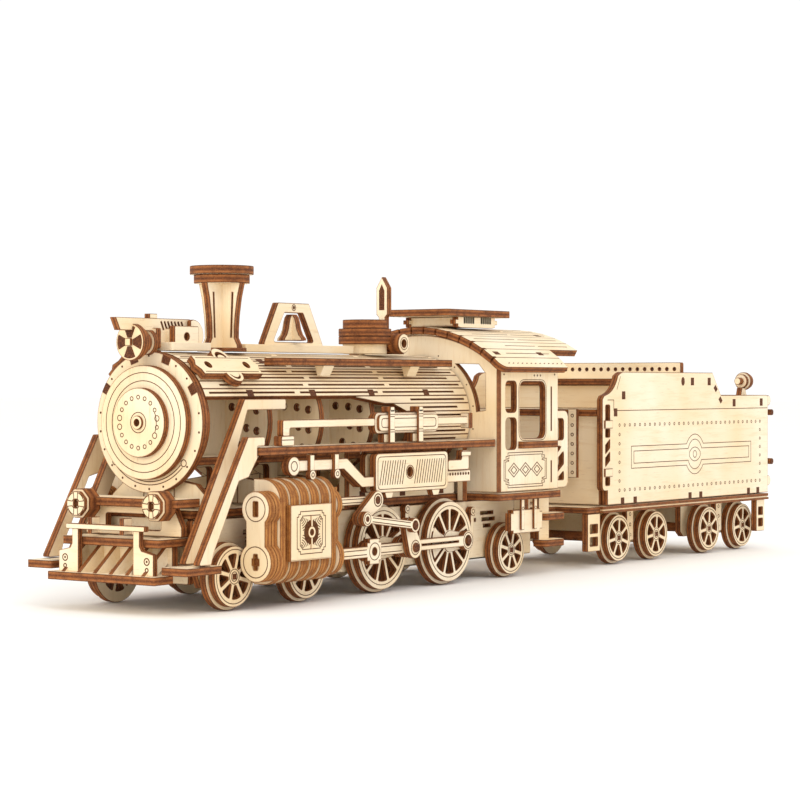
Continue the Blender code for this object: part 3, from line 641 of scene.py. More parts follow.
@draws("lamp_beam", "lamp_beam_board", "y")
def lamp_beam(piece):
    """The beam that carries the marker lamps, with the frame plates below it."""
    box = piece.box
    piece.plate("XY", rounded_box(box.s0 + 1.6, box.y0, box.s1, box.y1, 0.5), box.z0, box.z1)
    for y in (-12.3, 12.3):
        piece.tab("XY", box.z1, 1, 8.0, y - 1.0, 10.0, y + 1.0)
    piece.plate("YZ", rounded([(-15.6, 18.2), (15.6, 18.2), (15.6, 20.6), (13.2, 25.2), (-13.2, 25.2),
                               (-15.6, 20.6)], 0.5), 11.8, 13.8,
                [rounded_box(-9.0, 19.6, 9.0, 23.4, 0.8)])


def lamp_petals(piece, level, centre, inner, outer, start=0.0):
    """Four engraved petals on a lamp's face."""
    for i in range(4):
        middle = start + 90 * i
        petal = arc(centre, outer, middle - 30, middle + 30, 8)
        petal += arc(centre, inner, middle + 18, middle - 18, 4)
        piece.line("YZ", level, -1, petal, True, FINER)


@draws_pair("marker_lamp", "discs", "z", "warm_plywood")
def marker_lamp(piece, side):
    """A small lamp of three discs with a flattened front."""
    box = piece.box
    centre = (side * 12.3, (box.z0 + box.z1) / 2)
    hole = capsule((centre[0], centre[1] - 0.35), (centre[0], centre[1] + 0.35), 0.75)
    face = [polar(centre, 3.2, 22.5 + 45 * i) for i in range(8)]
    front = box.s0 + 2.0
    piece.plate("YZ", rounded(face, 0.8), front, front + 1.0, [hole])
    body = [polar(centre, 3.85, 22.5 + 45 * i) for i in range(8)]
    piece.plate("YZ", rounded(body, 0.9), front + 1.0, front + 5.0)
    piece.solid("YZ", circle(centre, 0.7, 10), front + 0.5, front + 0.9)
    lamp_petals(piece, front, centre, 1.25, 2.75, 45)
    piece.disc("YZ", centre, 2.8, front + 5.0, box.s1 + 1.6)


@draws("smokebox_ring", "smokebox_front_ring", "z")
def smokebox_ring(piece):
    """The boiler's front ring with tabs in its rim, rivets and an engraved grab rail."""
    centre = (0, BOILER_AXIS)
    level = RING.s0
    bays = [30, 72, 110, 150]
    outline = []
    angle = bays[0] + 4.2
    for following in bays[1:] + [bays[0] + 360]:
        steps = max(4, round((following - 4.2 - angle) / 5))
        outline += arc(centre, BOILER_RADIUS, angle, following - 4.2, steps)
        outline += [polar(centre, BOILER_RADIUS - 2.0, following - 4.2),
                    polar(centre, BOILER_RADIUS - 2.0, following + 4.2)]
        angle = following + 4.2
    piece.plate("YZ", outline, RING.s0, RING.s1)
    for bay in bays:
        wedge = [polar(centre, r, bay + d) for r, d in ((BOILER_RADIUS - 2.1, -4), (BOILER_RADIUS - 0.1, -4),
                                                         (BOILER_RADIUS - 0.1, 4), (BOILER_RADIUS - 2.1, 4))]
        piece.solid("YZ", wedge, RING.s0 - 0.1, RING.s1, EDGE)
    for i in range(22):
        angle = 8 + 360 / 22 * i
        if min(abs((angle - bay + 180) % 360 - 180) for bay in bays) > 6:
            piece.dot("YZ", level, -1, polar(centre, 16.3, angle), 0.3)
    for radius in (14.5, 15.3):
        piece.line("YZ", level, -1, arc(centre, radius, 225, 315, 26), width=FINE)
    for angle in (221, 319):
        piece.loop("YZ", level, -1, polar(centre, 14.9, angle), 0.85, FINE, 14)


@draws("smokebox_door", "smokebox_door_discs", "z")
def smokebox_door(piece):
    """The door: a dished pair of discs with engraved circles and a hub."""
    box = piece.box
    centre = (0, BOILER_AXIS)
    piece.disc("YZ", centre, 14.0, 15.3, box.s1, steps=64)
    piece.disc("YZ", centre, 8.5, 13.6, 15.3, [circle(centre, 0.85, 12)], steps=48)
    piece.plate("YZ", circle(centre, 1.7, 20), box.s0 + 0.4, 13.6, [circle(centre, 0.85, 12)], halo=SLIM)
    piece.solid("YZ", circle(centre, 1.0, 12), 13.9, 14.6)
    piece.loop("YZ", 15.3, -1, centre, 12.2, FINER, 48)
    piece.loop("YZ", 15.3, -1, centre, 10.2, FINER, 48)
    piece.loop("YZ", 13.6, -1, centre, 2.5, FINER)
    for i in range(18):
        spot = polar(centre, 6.2, 10 + 20 * i)
        wide = i in (0, 8, 10, 17)
        piece.loop("YZ", 13.6, -1, spot, 0.7 if wide else 0.48, FINER, 12)
    piece.line("YZ", 13.6, -1, arc(centre, 5.9, 155, 205, 10), width=FINER)


@draws("headlamp_bracket", "headlamp_stand", "x")
def headlamp_bracket(piece):
    """The lamp's upright plate with its base and hollow box."""
    box = piece.box
    piece.plate("XY", rounded_box(20.4, -5.0, box.s1, 5.0, 0.6), FOOT, FOOT + PLY, rim=FACE)
    back = arc((31.2, 67.0), 4.0, -60, 90, 10)
    slits = [slit((20.8 + 1.25 * i, 70.2), (21.7 + 1.25 * i, 68.3), 0.34) for i in range(7)]
    outline = [(19.0, 63.6), (30.0, 63.6), *back, (box.s0, 71.0), (6.2, 67.9), (19.0, 67.9)]
    piece.plate("XZ", outline, -1.0, 1.0, slits, halo=SLIM)
    lamp = extent("headlamp")
    axis = (0, (lamp.z0 + lamp.z1) / 2)
    piece.disc("YZ", axis, 3.1, lamp.s1 + 0.05, lamp.s1 + 1.6, steps=28)
    piece.plate("YZ", rounded_box(-2.2, 63.6, 2.2, 68.6, 0.5), lamp.s1 + 1.65, lamp.s1 + 3.4,
                [circle((0, 66.2), 0.9, 14)])
    piece.plate("XZ", rectangle(16.8, 70.9, 19.6, 72.1), -0.9, 0.9, halo=SLIM)
    window = circle((26.5, 66.6), 0.95, 14)
    for side in (-1, 1):
        piece.layer(side, rounded_box(22.0, 63.9, 31.0, 69.2, 0.5), 2.6, 4.4, [window])
        cheek = arc((31.2, 67.0), 3.9, -60, 90, 10) + [(30.2, 70.6), (30.2, 63.8)]
        piece.layer(side, cheek, 1.2, 2.4, halo=SLIM)
    for s in (22.6, 27.4):
        piece.plate("YZ", rectangle(-2.7, 64.2, 2.7, 68.6), s, s + 1.6)


@draws("headlamp", "headlamp_discs", "z", "warm_plywood")
def headlamp(piece):
    """The round headlamp, a stack of discs with a quartered front."""
    box = piece.box
    centre = (0, (box.z0 + box.z1) / 2)
    piece.disc("YZ", centre, 4.5, 10.6, 12.4, steps=32)
    piece.disc("YZ", centre, 3.6, 12.4, 14.2, steps=28)
    piece.disc("YZ", centre, 2.4, 14.2, box.s1, steps=24)
    for middle in (0, 90, 180, 270):
        wedge = [polar(centre, 1.3, middle - 28), *arc(centre, 3.9, middle - 26, middle + 26, 6),
                 polar(centre, 1.3, middle + 28)]
        piece.solid("YZ", wedge, 10.4, 10.56, EDGE)
        piece.line("YZ", 10.56, -1, wedge, True, 0.16)
    boss = [polar(centre, 1.3, 45 + 90 * i) for i in range(4)]
    piece.plate("YZ", rounded(boss, 0.4), box.s0, 10.6, halo=SLIM)


@draws_pair("outer_brace", "sheet", "z")
def outer_brace(piece, side):
    """The outer stay beside the smokebox."""
    outline = [(6.4, 12.1), (11.0, 12.1), (12.0, 15.0), (16.2, 22.4), (21.2, 31.6), (24.8, 32.4),
               (28.1, 36.8), (28.1, 39.8), (31.0, 39.8), (31.0, 42.1), (24.6, 42.1)]
    piece.layer(side, rounded(outline, 0.5, 2), 23.6, 25.6)


@draws_pair("inner_brace", "sheet", "z")
def inner_brace(piece, side):
    """The inner stay beside the smokebox."""
    outline = [(8.3, 12.1), (13.1, 12.1), (28.0, 37.9), (28.0, 39.8), (31.6, 48.5), (46.5, 48.5),
               (46.5, 51.2), (30.5, 51.2)]
    piece.layer(side, rounded(outline, 0.5, 2), 17.6, 19.6)


# ---------------------------------------------------------------- boiler

def shell_start(z):
    """The station where the skin begins at a height, following the cut-away in front of the firebox."""
    edge = [(30.0, 104.0), (46.5, 103.0), (48.5, 99.5), (50.0, 94.5), (51.5, 85.0)]
    if z >= edge[-1][0]:
        return SHELL.s0
    for (z0, s0), (z1, s1) in zip(edge, edge[1:]):
        if z <= z1:
            return s0 + (s1 - s0) * max(0.0, z - z0) / (z1 - z0)
    return SHELL.s0


@draws("boiler_shell", "boiler_planking", "x")
def boiler_shell(piece):
    """The skin: narrow planks round the boiler, each with a row of slits, and the fittings on it."""
    step = 7.25
    half = math.radians(step) / 2 * BOILER_RADIUS - 0.05
    inner = BOILER_RADIUS - PLY
    for i in range(-15, 16):
        degrees = i * step
        plane = wrapped(BOILER_AXIS, degrees)
        middle = polar((BOILER_AXIS, 0), BOILER_RADIUS, degrees)[0]
        rise = half * abs(math.sin(math.radians(degrees)))
        lower, upper = middle - rise, middle + rise
        if upper < SHELL.z0 - 0.5:
            continue
        low_start, high_start = shell_start(lower), shell_start(upper)
        if lower < 51.5 < upper:
            high_start, low_start = (80.0, 92.0) if abs(degrees) > 72 else (SHELL.s0, SHELL.s0)
        first, second = (high_start, low_start) if degrees > 0 else (low_start, high_start)
        outline = [(first, -half), (SHELL.s1, -half), (SHELL.s1, half), (second, half)]
        start = max(first, second)
        rows = dashes(start + 2.0 + 5.0 * (i % 3), SHELL.s1 - 2.0 - 4.0 * (i % 2), 32.0, 2.4)
        holes = [slit((a, 0), (b, 0), 0.3) for a, b in rows]
        piece.plate(plane, outline, inner, BOILER_RADIUS, holes, halo=0.22, chamfer=0.08)
    for side in (-1, 1):
        plane = wrapped(BOILER_AXIS, side * 66)
        for s in (36.0, 61.0, 86.0, 111.0):
            piece.tab(plane, BOILER_RADIUS, 1, s, -0.8, s + 2.2, 0.8)
        plane = wrapped(BOILER_AXIS, side * 29)
        for s in (49.0, 88.0, 124.0):
            piece.tab(plane, BOILER_RADIUS, 1, s, -0.8, s + 2.2, 0.8)
        plaque(piece, side)
        hand_rail(piece, side)


def plaque(piece, side):
    """A pierced ornamental plate on the boiler's shoulder, with a waved edge."""
    plane = wrapped(BOILER_AXIS, side * 44)
    base = BOILER_RADIUS + 0.3
    middle = 31.0
    lower = [(20.0, -1.6), (20.0, -3.2), (27.0, -3.2), *arc((middle, -3.0), 2.9, 180, 360, 8), (35.0, -3.2),
             (42.0, -3.2), (42.0, -1.6), (43.0, 0.0)]
    wave = lower + [(2 * middle - u, -v) for u, v in lower]
    openings = [circle((middle + u, v), r, 14) for u, v, r in ((-7.2, 0, 1.05), (7.2, 0, 1.05))]
    for turn in (1, -1):
        crescent = (arc((middle, turn * 2.6), 1.9, 10, 170, 8) + arc((middle, turn * 2.0), 1.7, 155, 25, 6))
        if turn < 0:
            crescent = [(u, 2 * turn * 2.6 - v) for u, v in crescent]
        openings.append(crescent)
    piece.plate(plane, wave, base, base + PLY, openings, halo=0.22)
    piece.line(plane, base + PLY, 1, [(21.0, -2.4), (41.0, -2.4)], width=HAIR)
    piece.line(plane, base + PLY, 1, [(21.0, 2.4), (41.0, 2.4)], width=HAIR)
    for s in (23.0, 38.0):
        piece.plate(plane, rectangle(s, -1.2, s + PLY, 1.2), BOILER_RADIUS - 0.4, base)


def hand_rail(piece, side):
    """The narrow shelf along the boiler's shoulder, bevelled at its front end, on slanting brackets."""
    low, high = 59.6, 61.5
    outline = [(48.0, side * 14.4), (51.4, side * 17.0), (123.0, side * 17.0), (123.0, side * 11.4),
               (48.0, side * 11.4)]
    piece.plate("XY", outline, low, high)
    for s in (66.0, 104.0):
        bracket = [(side * 16.6, low), (side * 13.4, low), (side * 14.2, 57.0), (side * 15.2, 57.0)]
        piece.plate("YZ", bracket, s, s + 4.2, halo=SLIM, rim=FACE)


@draws("boiler_ribs", "boiler_tube_plates", "z", "warm_plywood")
def boiler_ribs(piece):
    """The inner frame: tube plates pierced with holes on an upright spine."""
    box = piece.box
    radius = BOILER_RADIUS - PLY - 0.3
    centre = (0, BOILER_AXIS)
    outline = arc(centre, radius, -75, 255, 44)
    for s in (21.0, 45.0, 66.0, 88.0, 128.0):
        holes = []
        for ring, count in ((11.6, 14), (8.2, 10), (4.8, 6)):
            for i in range(count):
                spot = polar(centre, ring, 360 / count * i + 12)
                if abs(spot[0]) > 2.0:
                    holes.append(circle(spot, 0.95, 10))
        piece.plate("YZ", outline, s, s + PLY, holes, halo=SLIM)
        piece.plate("YZ", rectangle(-5.0, box.z0, 5.0, 34.0), s + 0.1, s + PLY - 0.1)
        for side in (-1, 1):
            foot = [(5.0, box.z0), (15.6, box.z0), (15.6, 27.4), (12.0, 30.5), (5.0, 31.6)]
            foot = [(side * y, z) for y, z in foot]
            piece.plate("YZ", foot, s + 0.1, s + PLY - 0.1)
    slots = [rounded_box(s, 28.5, s + 13.0, 34.0, 1.2) for s in (27.0, 49.5, 71.0, 93.0, 109.0)]
    piece.plate("XZ", rectangle(box.s0 + 1, box.z0, box.s1 - 1, 52.0), -1.0, 1.0, slots)
    for side in (-1, 1):
        near, far = across(side, 1.2, 11.5)
        piece.plate("XY", rectangle(22.0, near, 129.0, far), 35.0, 37.0)


def both_halves(half):
    """The outline whose right half is given, from the bottom up."""
    return half + mirrored(half)


def crossed_plates(piece, middle, half, holes=()):
    """Two equal plates, one lengthwise and one across, that cross at a station."""
    outline = both_halves(half)
    piece.plate("YZ", outline, middle - PLY / 2, middle + PLY / 2, holes)
    outline, *holes = [[(middle + u, z) for u, z in loop] for loop in (outline, *holes)]
    piece.plate("XZ", outline, -PLY / 2, PLY / 2, holes)


@draws("chimney", "chimney_plates", "z", "warm_plywood")
def chimney(piece):
    """Two crossing flared plates with slits and a pair of cap discs."""
    box = piece.box
    middle = (box.s0 + box.s1) / 2
    half = [(6.2, FOOT), (5.9, FOOT + 1.6), (4.9, FOOT + 3.4), (4.95, FOOT + 6.0), (5.2, FOOT + 9.0),
            (5.9, FOOT + 13.5), (6.9, 80.6)]
    crossed_plates(piece, middle, half, [slit((u, FOOT + 3.6), (u * 1.12, 78.0), 0.36) for u in (-3.9, 3.9)])
    piece.disc("XY", (middle, 0), 7.1, 80.4, 82.55, steps=40)
    piece.disc("XY", (middle, 0), 8.1, 82.65, box.z1, [circle((middle, 0), 3.4, 24)], steps=44)
    piece.loop("XY", box.z1, 1, (middle, 0), 5.6, FINE, 36)
    piece.disc("XY", (middle, 0), 6.3, FOOT, FOOT + 0.9, steps=32)


@draws("bell_frame", "bell_yoke", "x")
def bell_frame(piece):
    """The bell's yoke on the long strip along the boiler top."""
    box = piece.box
    runs = dashes(55.0, 60.0, 4.0, 1.5) + dashes(86.0, 96.0, 4.0, 1.5)
    slots = [slit((a, 0), (b, 0), 0.5) for a, b in runs]
    piece.plate("XY", rounded_box(box.s0, box.y0, box.s1, box.y1, 0.5), box.z0, box.z0 + PLY, slots, rim=FACE)
    outer = [(60.6, FOOT + 1), (85.2, FOOT + 1), (85.2, 65.6), (79.4, box.z1), (66.4, box.z1), (60.6, 65.6)]
    opening = [(64.4, 65.9), (81.4, 65.9), (76.8, 73.6), (69.0, 73.6)]
    piece.plate("XZ", rounded(outer, 0.5, 3), -1.0, 1.0, [rounded(opening, 0.6, 3)])
    for side in (-1, 1):
        piece.dot("XZ", side * 1.0, side, (72.9, 75.0), 0.5)
        piece.loop("XZ", side * 1.0, side, (72.9, 75.0), 0.8, HAIR, 14)


@draws("bell", "bell_plates", "z", "warm_plywood")
def bell(piece):
    """Two crossing bell-shaped plates with a disc at the lip."""
    box = piece.box
    middle = (box.s0 + box.s1) / 2
    half = [(4.2, box.z0), (4.1, 66.9), (3.2, 67.8), (2.5, 69.3), (2.1, 71.2), (1.7, 72.4), (1.0, box.z1)]
    crossed_plates(piece, middle, half)


@draws("steam_dome", "steam_dome_discs", "x", "warm_plywood")
def steam_dome(piece):
    """The dome: a stack of discs with a ring of slots round its widest one."""
    box = piece.box
    centre = ((box.s0 + box.s1) / 2, 0)
    radius = (box.s1 - box.s0) / 2
    piece.disc("XY", centre, 6.0, box.z0, 65.75, rim=FACE)
    for low, high, reach in ((65.8, 67.9, radius), (67.95, 70.05, radius), (70.1, box.z1, 6.1)):
        piece.disc("XY", centre, reach, low, high, steps=40)
    piece.loop("XY", box.z1, 1, centre, 4.9, FINE, 32)
    piece.loop("XY", box.z1, 1, centre, 2.6, FINE, 24)
    piece.dot("XY", box.z1, 1, centre, 0.9, steps=14)
    for i in range(8):
        piece.dot("XY", box.z1, 1, polar(centre, 3.8, 45 * i), 0.32)
    for side in (-1, 1):
        valve = (110.5, 66.0)
        piece.layer(side, circle(valve, 2.7, 26), 5.8, 9.6, [circle(valve, 1.1, 14)])
        piece.loop("XZ", side * 9.6, side, valve, 1.7, HAIR, 18)


@draws("whistle_post", "whistle_blade", "z")
def whistle_post(piece):
    """The pointed whistle blade behind the dome."""
    box = piece.box
    blade = [(1.1, box.z0), (1.1, 73.4), (1.9, 74.2), (1.9, 81.6)]
    blade = [*blade, (0.0, box.z1), *mirrored(blade)]
    piece.plate("YZ", blade, box.s0 + 0.2, box.s0 + 0.2 + PLY, halo=0.25)
    flame = [(-0.9, 75.4), (0.9, 75.4), (0.9, 80.8), (0.0, 82.6), (-0.9, 80.8)]
    piece.solid("YZ", flame, box.s0 + 0.14, box.s0 + 0.5, EDGE)
    piece.solid("YZ", flame, box.s0 + 1.9, box.s0 + 0.26 + PLY, EDGE)
    piece.plate("XY", rounded_box(box.s0, box.y0, box.s1, box.y1, 0.5), box.z0, box.z0 + PLY)
    piece.tab("XY", box.z0 + PLY, 1, box.s0 + 4.0, -1.0, box.s0 + 5.4, 1.0)


# ---------------------------------------------------------------- chassis

@draws_pair("chassis_side", "sheet", "x")
def chassis_side(piece, side):
    """A long side frame with axle bores, groups of slits and upright hangers."""
    box = piece.box
    holes = [circle(wheel_centre(name), 1.8, 14) for name in ROLLING_STOCK if not name.startswith("tender")]
    for s in (34.0, 59.5, 84.0, 97.5, 128.5, 138.0, 155.0):
        for row, reach in enumerate((6.4, 6.4, 3.6)):
            holes.append(rectangle(s + row * 0.7, 18.0 - row * 1.8, s + row * 0.7 + reach, 18.8 - row * 1.8))
    outline = [(box.s0, 13.0), (18.0, box.z0), (box.s1, box.z0), (box.s1, box.z1), (box.s0, box.z1)]
    piece.layer(side, rounded(outline, 0.6), 14.3, 16.3, holes)
    for s, low, high in ((100.4, 9.0, 21.0), (131.6, 12.5, 19.0), (36.5, 8.0, 19.0)):
        piece.layer(side, capsule((s, low), (s, high), 0.85), 16.4, 17.9, halo=SLIM)
        piece.layer(side, circle((s, high + 0.3), 1.25, 16), 16.4, 18.2, halo=SLIM)
        piece.loop("XZ", side * 18.2, side, (s, high + 0.3), 0.6, FINER, 12)


@draws("chassis_deck", "chassis_deck_boards", "x", "warm_plywood")
def chassis_deck(piece):
    """The deck with its cross frames, and the pale side panels that stand on its edges."""
    box = piece.box
    slots = [slit((a, y), (b, y), 0.6) for y in (-8.0, 8.0) for a, b in dashes(24.0, 120.0, 9.0, 7.0)]
    piece.plate("XY", rectangle(box.s0, box.y0, box.s1, box.y1), box.z1 - PLY, box.z1, slots)
    for s in (16.0, 38.0, 68.0, 100.0, 127.0):
        piece.plate("YZ", rounded_box(-14.0, box.z0, 14.0, box.z1 - 1.9, 0.6), s, s + PLY,
                    [circle((0, 13.5), 3.2, 20)])
    for side in (-1, 1):
        panel = [(60.6, box.z1), (125.6, box.z1), (125.6, 33.0), (110.0, 33.0), (106.0, 29.6), (76.0, 29.6),
                 (73.0, 27.0), (60.6, 27.0)]
        piece.layer(side, rounded(panel, 0.8), 14.0, 15.9)
        for s in (64.0, 82.0, 100.0, 118.0):
            piece.tab("XZ", side * 15.9, side, s, box.z1 + 0.5, s + 2.2, box.z1 + 2.1)


# ---------------------------------------------------------------- wheels

ROLLING_STOCK = {
    "bogie_wheelset_front": (8, 0.30, 0.74),
    "bogie_wheelset_rear": (8, 0.30, 0.74),
    "driver_wheelset_front": (11, 0.30, 0.80),
    "driver_wheelset_rear": (11, 0.30, 0.80),
    "trailing_wheelset": (8, 0.30, 0.74),
    "tender_wheelset_1": (7, 0.32, 0.76),
    "tender_wheelset_2": (7, 0.32, 0.76),
    "tender_wheelset_3": (7, 0.32, 0.76),
    "tender_wheelset_4": (7, 0.32, 0.76),
}
FLANGE_STEP = 0.88   # how far the flange stands out from the tread
FLANGE = (17.15, 19.10)
TREAD = (19.20, 21.15)


def joint_place(body):
    """The pivot of the joint that carries a body, as a station and a height."""
    for joint in BEHAVIOUR["joints"]:
        if joint["child"] == body and "pos_m" in joint:
            x, _, z = joint["pos_m"]
            return (x / MM - FRONT, z / MM)
    raise ValueError(body)


def wheel_centre(node):
    """Station and height of a wheelset's axle."""
    return joint_place(BODY_OF_NODE[node])


def spoke_window(centre, inner, outer, middle, count, spoke):
    """One rounded opening between two spokes."""
    half_in = 180 / count - math.degrees(spoke / 2 / inner)
    half_out = 180 / count - math.degrees(spoke / 2 / outer)
    window = (arc(centre, outer, middle - half_out, middle + half_out, 5)
              + arc(centre, inner, middle + half_in, middle - half_in, 2))
    return rounded(window, 0.35, 2)


def wheelset(piece):
    """Two wheels on an axle: spoked tread discs over spoked flange discs."""
    count, hub, rim = ROLLING_STOCK[piece.node]
    centre = wheel_centre(piece.node)
    radius = centre[1] - GROUND - FLANGE_STEP
    spoke = 1.05 if radius > 9 else 1.15
    steps = 72 if radius > 9 else 56
    for side in (-1, 1):
        for layer, reach in ((FLANGE, radius + FLANGE_STEP), (TREAD, radius)):
            windows = [spoke_window(centre, radius * hub, radius * rim, 360 / count * i + 8, count, spoke)
                       for i in range(count)]
            piece.layer(side, circle(centre, reach, steps), *layer, windows, halo=0.16)
        level = side * TREAD[1]
        piece.loop("XZ", level, side, centre, radius * 0.89, FINER, 56)
        piece.loop("XZ", level, side, centre, radius * hub * 0.82, HAIR, 20)
        piece.solid("XZ", rectangle(centre[0] - 0.7, centre[1] - 0.7, centre[0] + 0.7, centre[1] + 0.7),
                    side * 20.6, side * 21.3, EDGE)
        piece.loop("XZ", level, side, centre, 1.15, HAIR, 16)
        piece.disc("XZ", centre, radius * 0.36, *across(side, 15.2 if radius < 9 else 16.6, 17.1), halo=SLIM)
    piece.rod("Y", centre, 1.5, -17.3, 17.3)
    if piece.node.startswith("driver"):
        cranks(piece, centre, piece.node.endswith("front"))


for node in ROLLING_STOCK:
    draws(node, node + "_wood", "z", "warm_plywood")(wheelset)


def tapered(a, b, radius_a, radius_b):
    """A teardrop: two circles of different sizes joined by straight sides."""
    angle = math.degrees(math.atan2(b[1] - a[1], b[0] - a[0]))
    reach = math.dist(a, b)
    lean = math.degrees(math.asin((radius_a - radius_b) / reach))
    return (arc(a, radius_a, angle + 90 - lean, angle + 270 + lean, 14)
            + arc(b, radius_b, angle - 90 + lean, angle + 90 - lean, 10))


def cranks(piece, centre, front):
    """Crank bosses and pins, and on the front wheelset the return cranks too."""
    pin = (centre[0] + CRANK_RADIUS, centre[1])
    for side in (-1, 1):
        boss = tapered(centre, pin, 3.0, 2.3)
        piece.layer(side, boss, 19.4, 21.3, halo=SLIM)
        weight = (arc(centre, 8.4, 148, 212, 10) + arc(centre, 4.2, 206, 154, 4))
        piece.layer(side, weight, 19.4, 21.2, halo=SLIM)
        piece.rod("Y", pin, 1.1, *across(side, 20.0, 27.9 if front else 23.8))
        if not front:
            continue
        crank = tapered(pin, ECCENTRIC_PIN, 2.9, 1.9)
        piece.layer(side, crank, 25.75, 27.55, halo=SLIM)
        piece.loop("XZ", side * 27.55, side, pin, 1.9, FINER, 20)
        piece.rod("Y", pin, 1.3, *across(side, 27.0, 28.0), hole=0.5)
        piece.rod("Y", ECCENTRIC_PIN, 1.0, *across(side, 26.5, 29.8))


# ---------------------------------------------------------------- rods and cylinders

DRIVER_CENTRES = [wheel_centre("driver_wheelset_front"), wheel_centre("driver_wheelset_rear")]
CRANK_PIN = joint_place("main_rod_left")
ECCENTRIC_PIN = joint_place("eccentric_rod_left")
CRANK_RADIUS = CRANK_PIN[0] - DRIVER_CENTRES[0][0]
REAR_PIN = (DRIVER_CENTRES[1][0] + CRANK_RADIUS, CRANK_PIN[1])
CROSSHEAD = (73.0, CRANK_PIN[1])
LINK_FOOT = (67.2, 20.5)
VALVE_EYE = (74.4, 25.0)
ROD = 1.8            # thickness of a rod
ROD_PITCH = 2.1      # from one layer of rods to the next
COUPLING_LAYER, MAIN_LAYER, CROSSHEAD_LAYER, ECCENTRIC_LAYER = (21.5 + ROD_PITCH * i for i in range(4))


def bar(a, b, width, radius_a, radius_b):
    """A flat bar with a round eye at each end, in one outline."""
    angle = math.degrees(math.atan2(b[1] - a[1], b[0] - a[0]))
    lean_a = math.degrees(math.asin(width / 2 / radius_a))
    lean_b = math.degrees(math.asin(width / 2 / radius_b))
    return (arc(a, radius_a, angle + lean_a, angle + 360 - lean_a, 20)
            + arc(b, radius_b, angle + 180 + lean_b, angle + 540 - lean_b, 20))


def flutes(piece, level, side, a, b, start, stop, offset):
    """Two engraved lines along a bar."""
    along = (Vector(b) - Vector(a)).normalized()
    away = Vector((-along.y, along.x))
    for turn in (-1, 1):
        first = Vector(a) + along * start + away * offset * turn
        last = Vector(b) - along * stop + away * offset * turn
        piece.line("XZ", level, side, [tuple(first), tuple(last)], width=FINE)


@draws_pair("coupling_rod", "bar", "x")
def coupling_rod(piece, side):
    """The side rod between the drivers, with a long slit."""
    layer = across(side, COUPLING_LAYER, COUPLING_LAYER + ROD)
    holes = [circle(CRANK_PIN, 1.45, 16), circle(REAR_PIN, 1.45, 16),
             slit((CRANK_PIN[0] + 6, CRANK_PIN[1]), (REAR_PIN[0] - 4.6, CRANK_PIN[1]), 0.4)]
    piece.plate("XZ", bar(CRANK_PIN, REAR_PIN, 3.0, 2.75, 2.75), *layer, holes)
    piece.loop("XZ", layer[1], side, REAR_PIN, 2.2, FINER, 24)


@draws_pair("main_rod", "bar", "x")
def main_rod(piece, side):
    """The connecting rod from the crosshead to the crank."""
    layer = across(side, MAIN_LAYER, MAIN_LAYER + ROD)
    holes = [circle(CROSSHEAD, 1.45, 14), circle(CRANK_PIN, 1.45, 16)]
    piece.plate("XZ", bar(CROSSHEAD, CRANK_PIN, 3.0, 2.7, 2.75), *layer, holes)
    flutes(piece, layer[1], side, CROSSHEAD, CRANK_PIN, 3.2, 3.2, 0.75)


@draws_pair("eccentric_rod", "bar", "x")
def eccentric_rod(piece, side):
    """The thin rod from the return crank to the link's foot."""
    layer = across(side, ECCENTRIC_LAYER, ECCENTRIC_LAYER + ROD)
    holes = [circle(ECCENTRIC_PIN, 1.2, 14)]
    piece.plate("XZ", bar(LINK_FOOT, ECCENTRIC_PIN, 2.1, 1.9, 1.9), *layer, holes, halo=0.22)
    flutes(piece, layer[1], side, LINK_FOOT, ECCENTRIC_PIN, 2.2, 2.2, 0.5)
    piece.loop("XZ", layer[1], side, LINK_FOOT, 1.35, FINER, 18)
    piece.dot("XZ", layer[1], side, LINK_FOOT, 0.75, EDGE, 12)


@draws_pair("crosshead", "plate", "x")
def crosshead(piece, side):
    """The piston rod with its square crosshead plate."""
    box = piece.box
    layer = across(side, CROSSHEAD_LAYER, CROSSHEAD_LAYER + ROD)
    s, z = CROSSHEAD
    upper = [(2.9, 2.4), (2.0, 2.4), (2.0, 3.3), (-2.2, 3.3), (-2.2, 2.4), (-3.2, 2.4), (-3.2, 1.45),
             (box.s0 - s, 1.45)]
    outline = [(s + u, z + v) for u, v in upper] + [(s + u, z - v) for u, v in reversed(upper)]
    piece.plate("XZ", outline, *layer, [circle((s, z), 1.0, 18)])
    piece.loop("XZ", layer[1], side, (s, z), 2.2, FINER, 24)
    piece.rod("Y", (s, z), 0.9, *across(side, 25.7, 27.0))
    for turn in (-0.6, 0.6):
        piece.line("XZ", layer[1], side, [(box.s0 + 0.4, z + turn), (s - 3.4, z + turn)], width=FINE)


@draws_pair("valve_rod", "plates", "x")
def valve_rod(piece, side):
    """The valve rod with its ringed eye and the hanging link."""
    box = piece.box
    inner = across(side, MAIN_LAYER, MAIN_LAYER + ROD)
    outer = across(side, CROSSHEAD_LAYER, CROSSHEAD_LAYER + ROD)
    s, z = VALVE_EYE
    piece.plate("XZ", rectangle(box.s0, z - 1.1, s - 1.0, z + 1.1), *inner)
    for turn in (-0.45, 0.45):
        piece.line("XZ", inner[1], side, [(box.s0 + 0.4, z + turn), (s - 2.8, z + turn)], width=FINE)
    piece.plate("XZ", tapered(VALVE_EYE, LINK_FOOT, 2.4, 1.7), *outer, halo=0.22)
    piece.loop("XZ", outer[1], side, VALVE_EYE, 1.6, 0.3, 24)
    piece.dot("XZ", outer[1], side, VALVE_EYE, 1.1, EDGE, 16)


def figure_eight(side, height, upper):
    """The outline shared by the two round cylinder covers and the neck between them."""
    y = 26.2
    low = arc((y, height), 4.9, 127, 413, 26)
    high = arc((y, upper), 4.3, -46, 226, 24)
    outline = low + high
    return [(side * u, v) for u, v in outline]


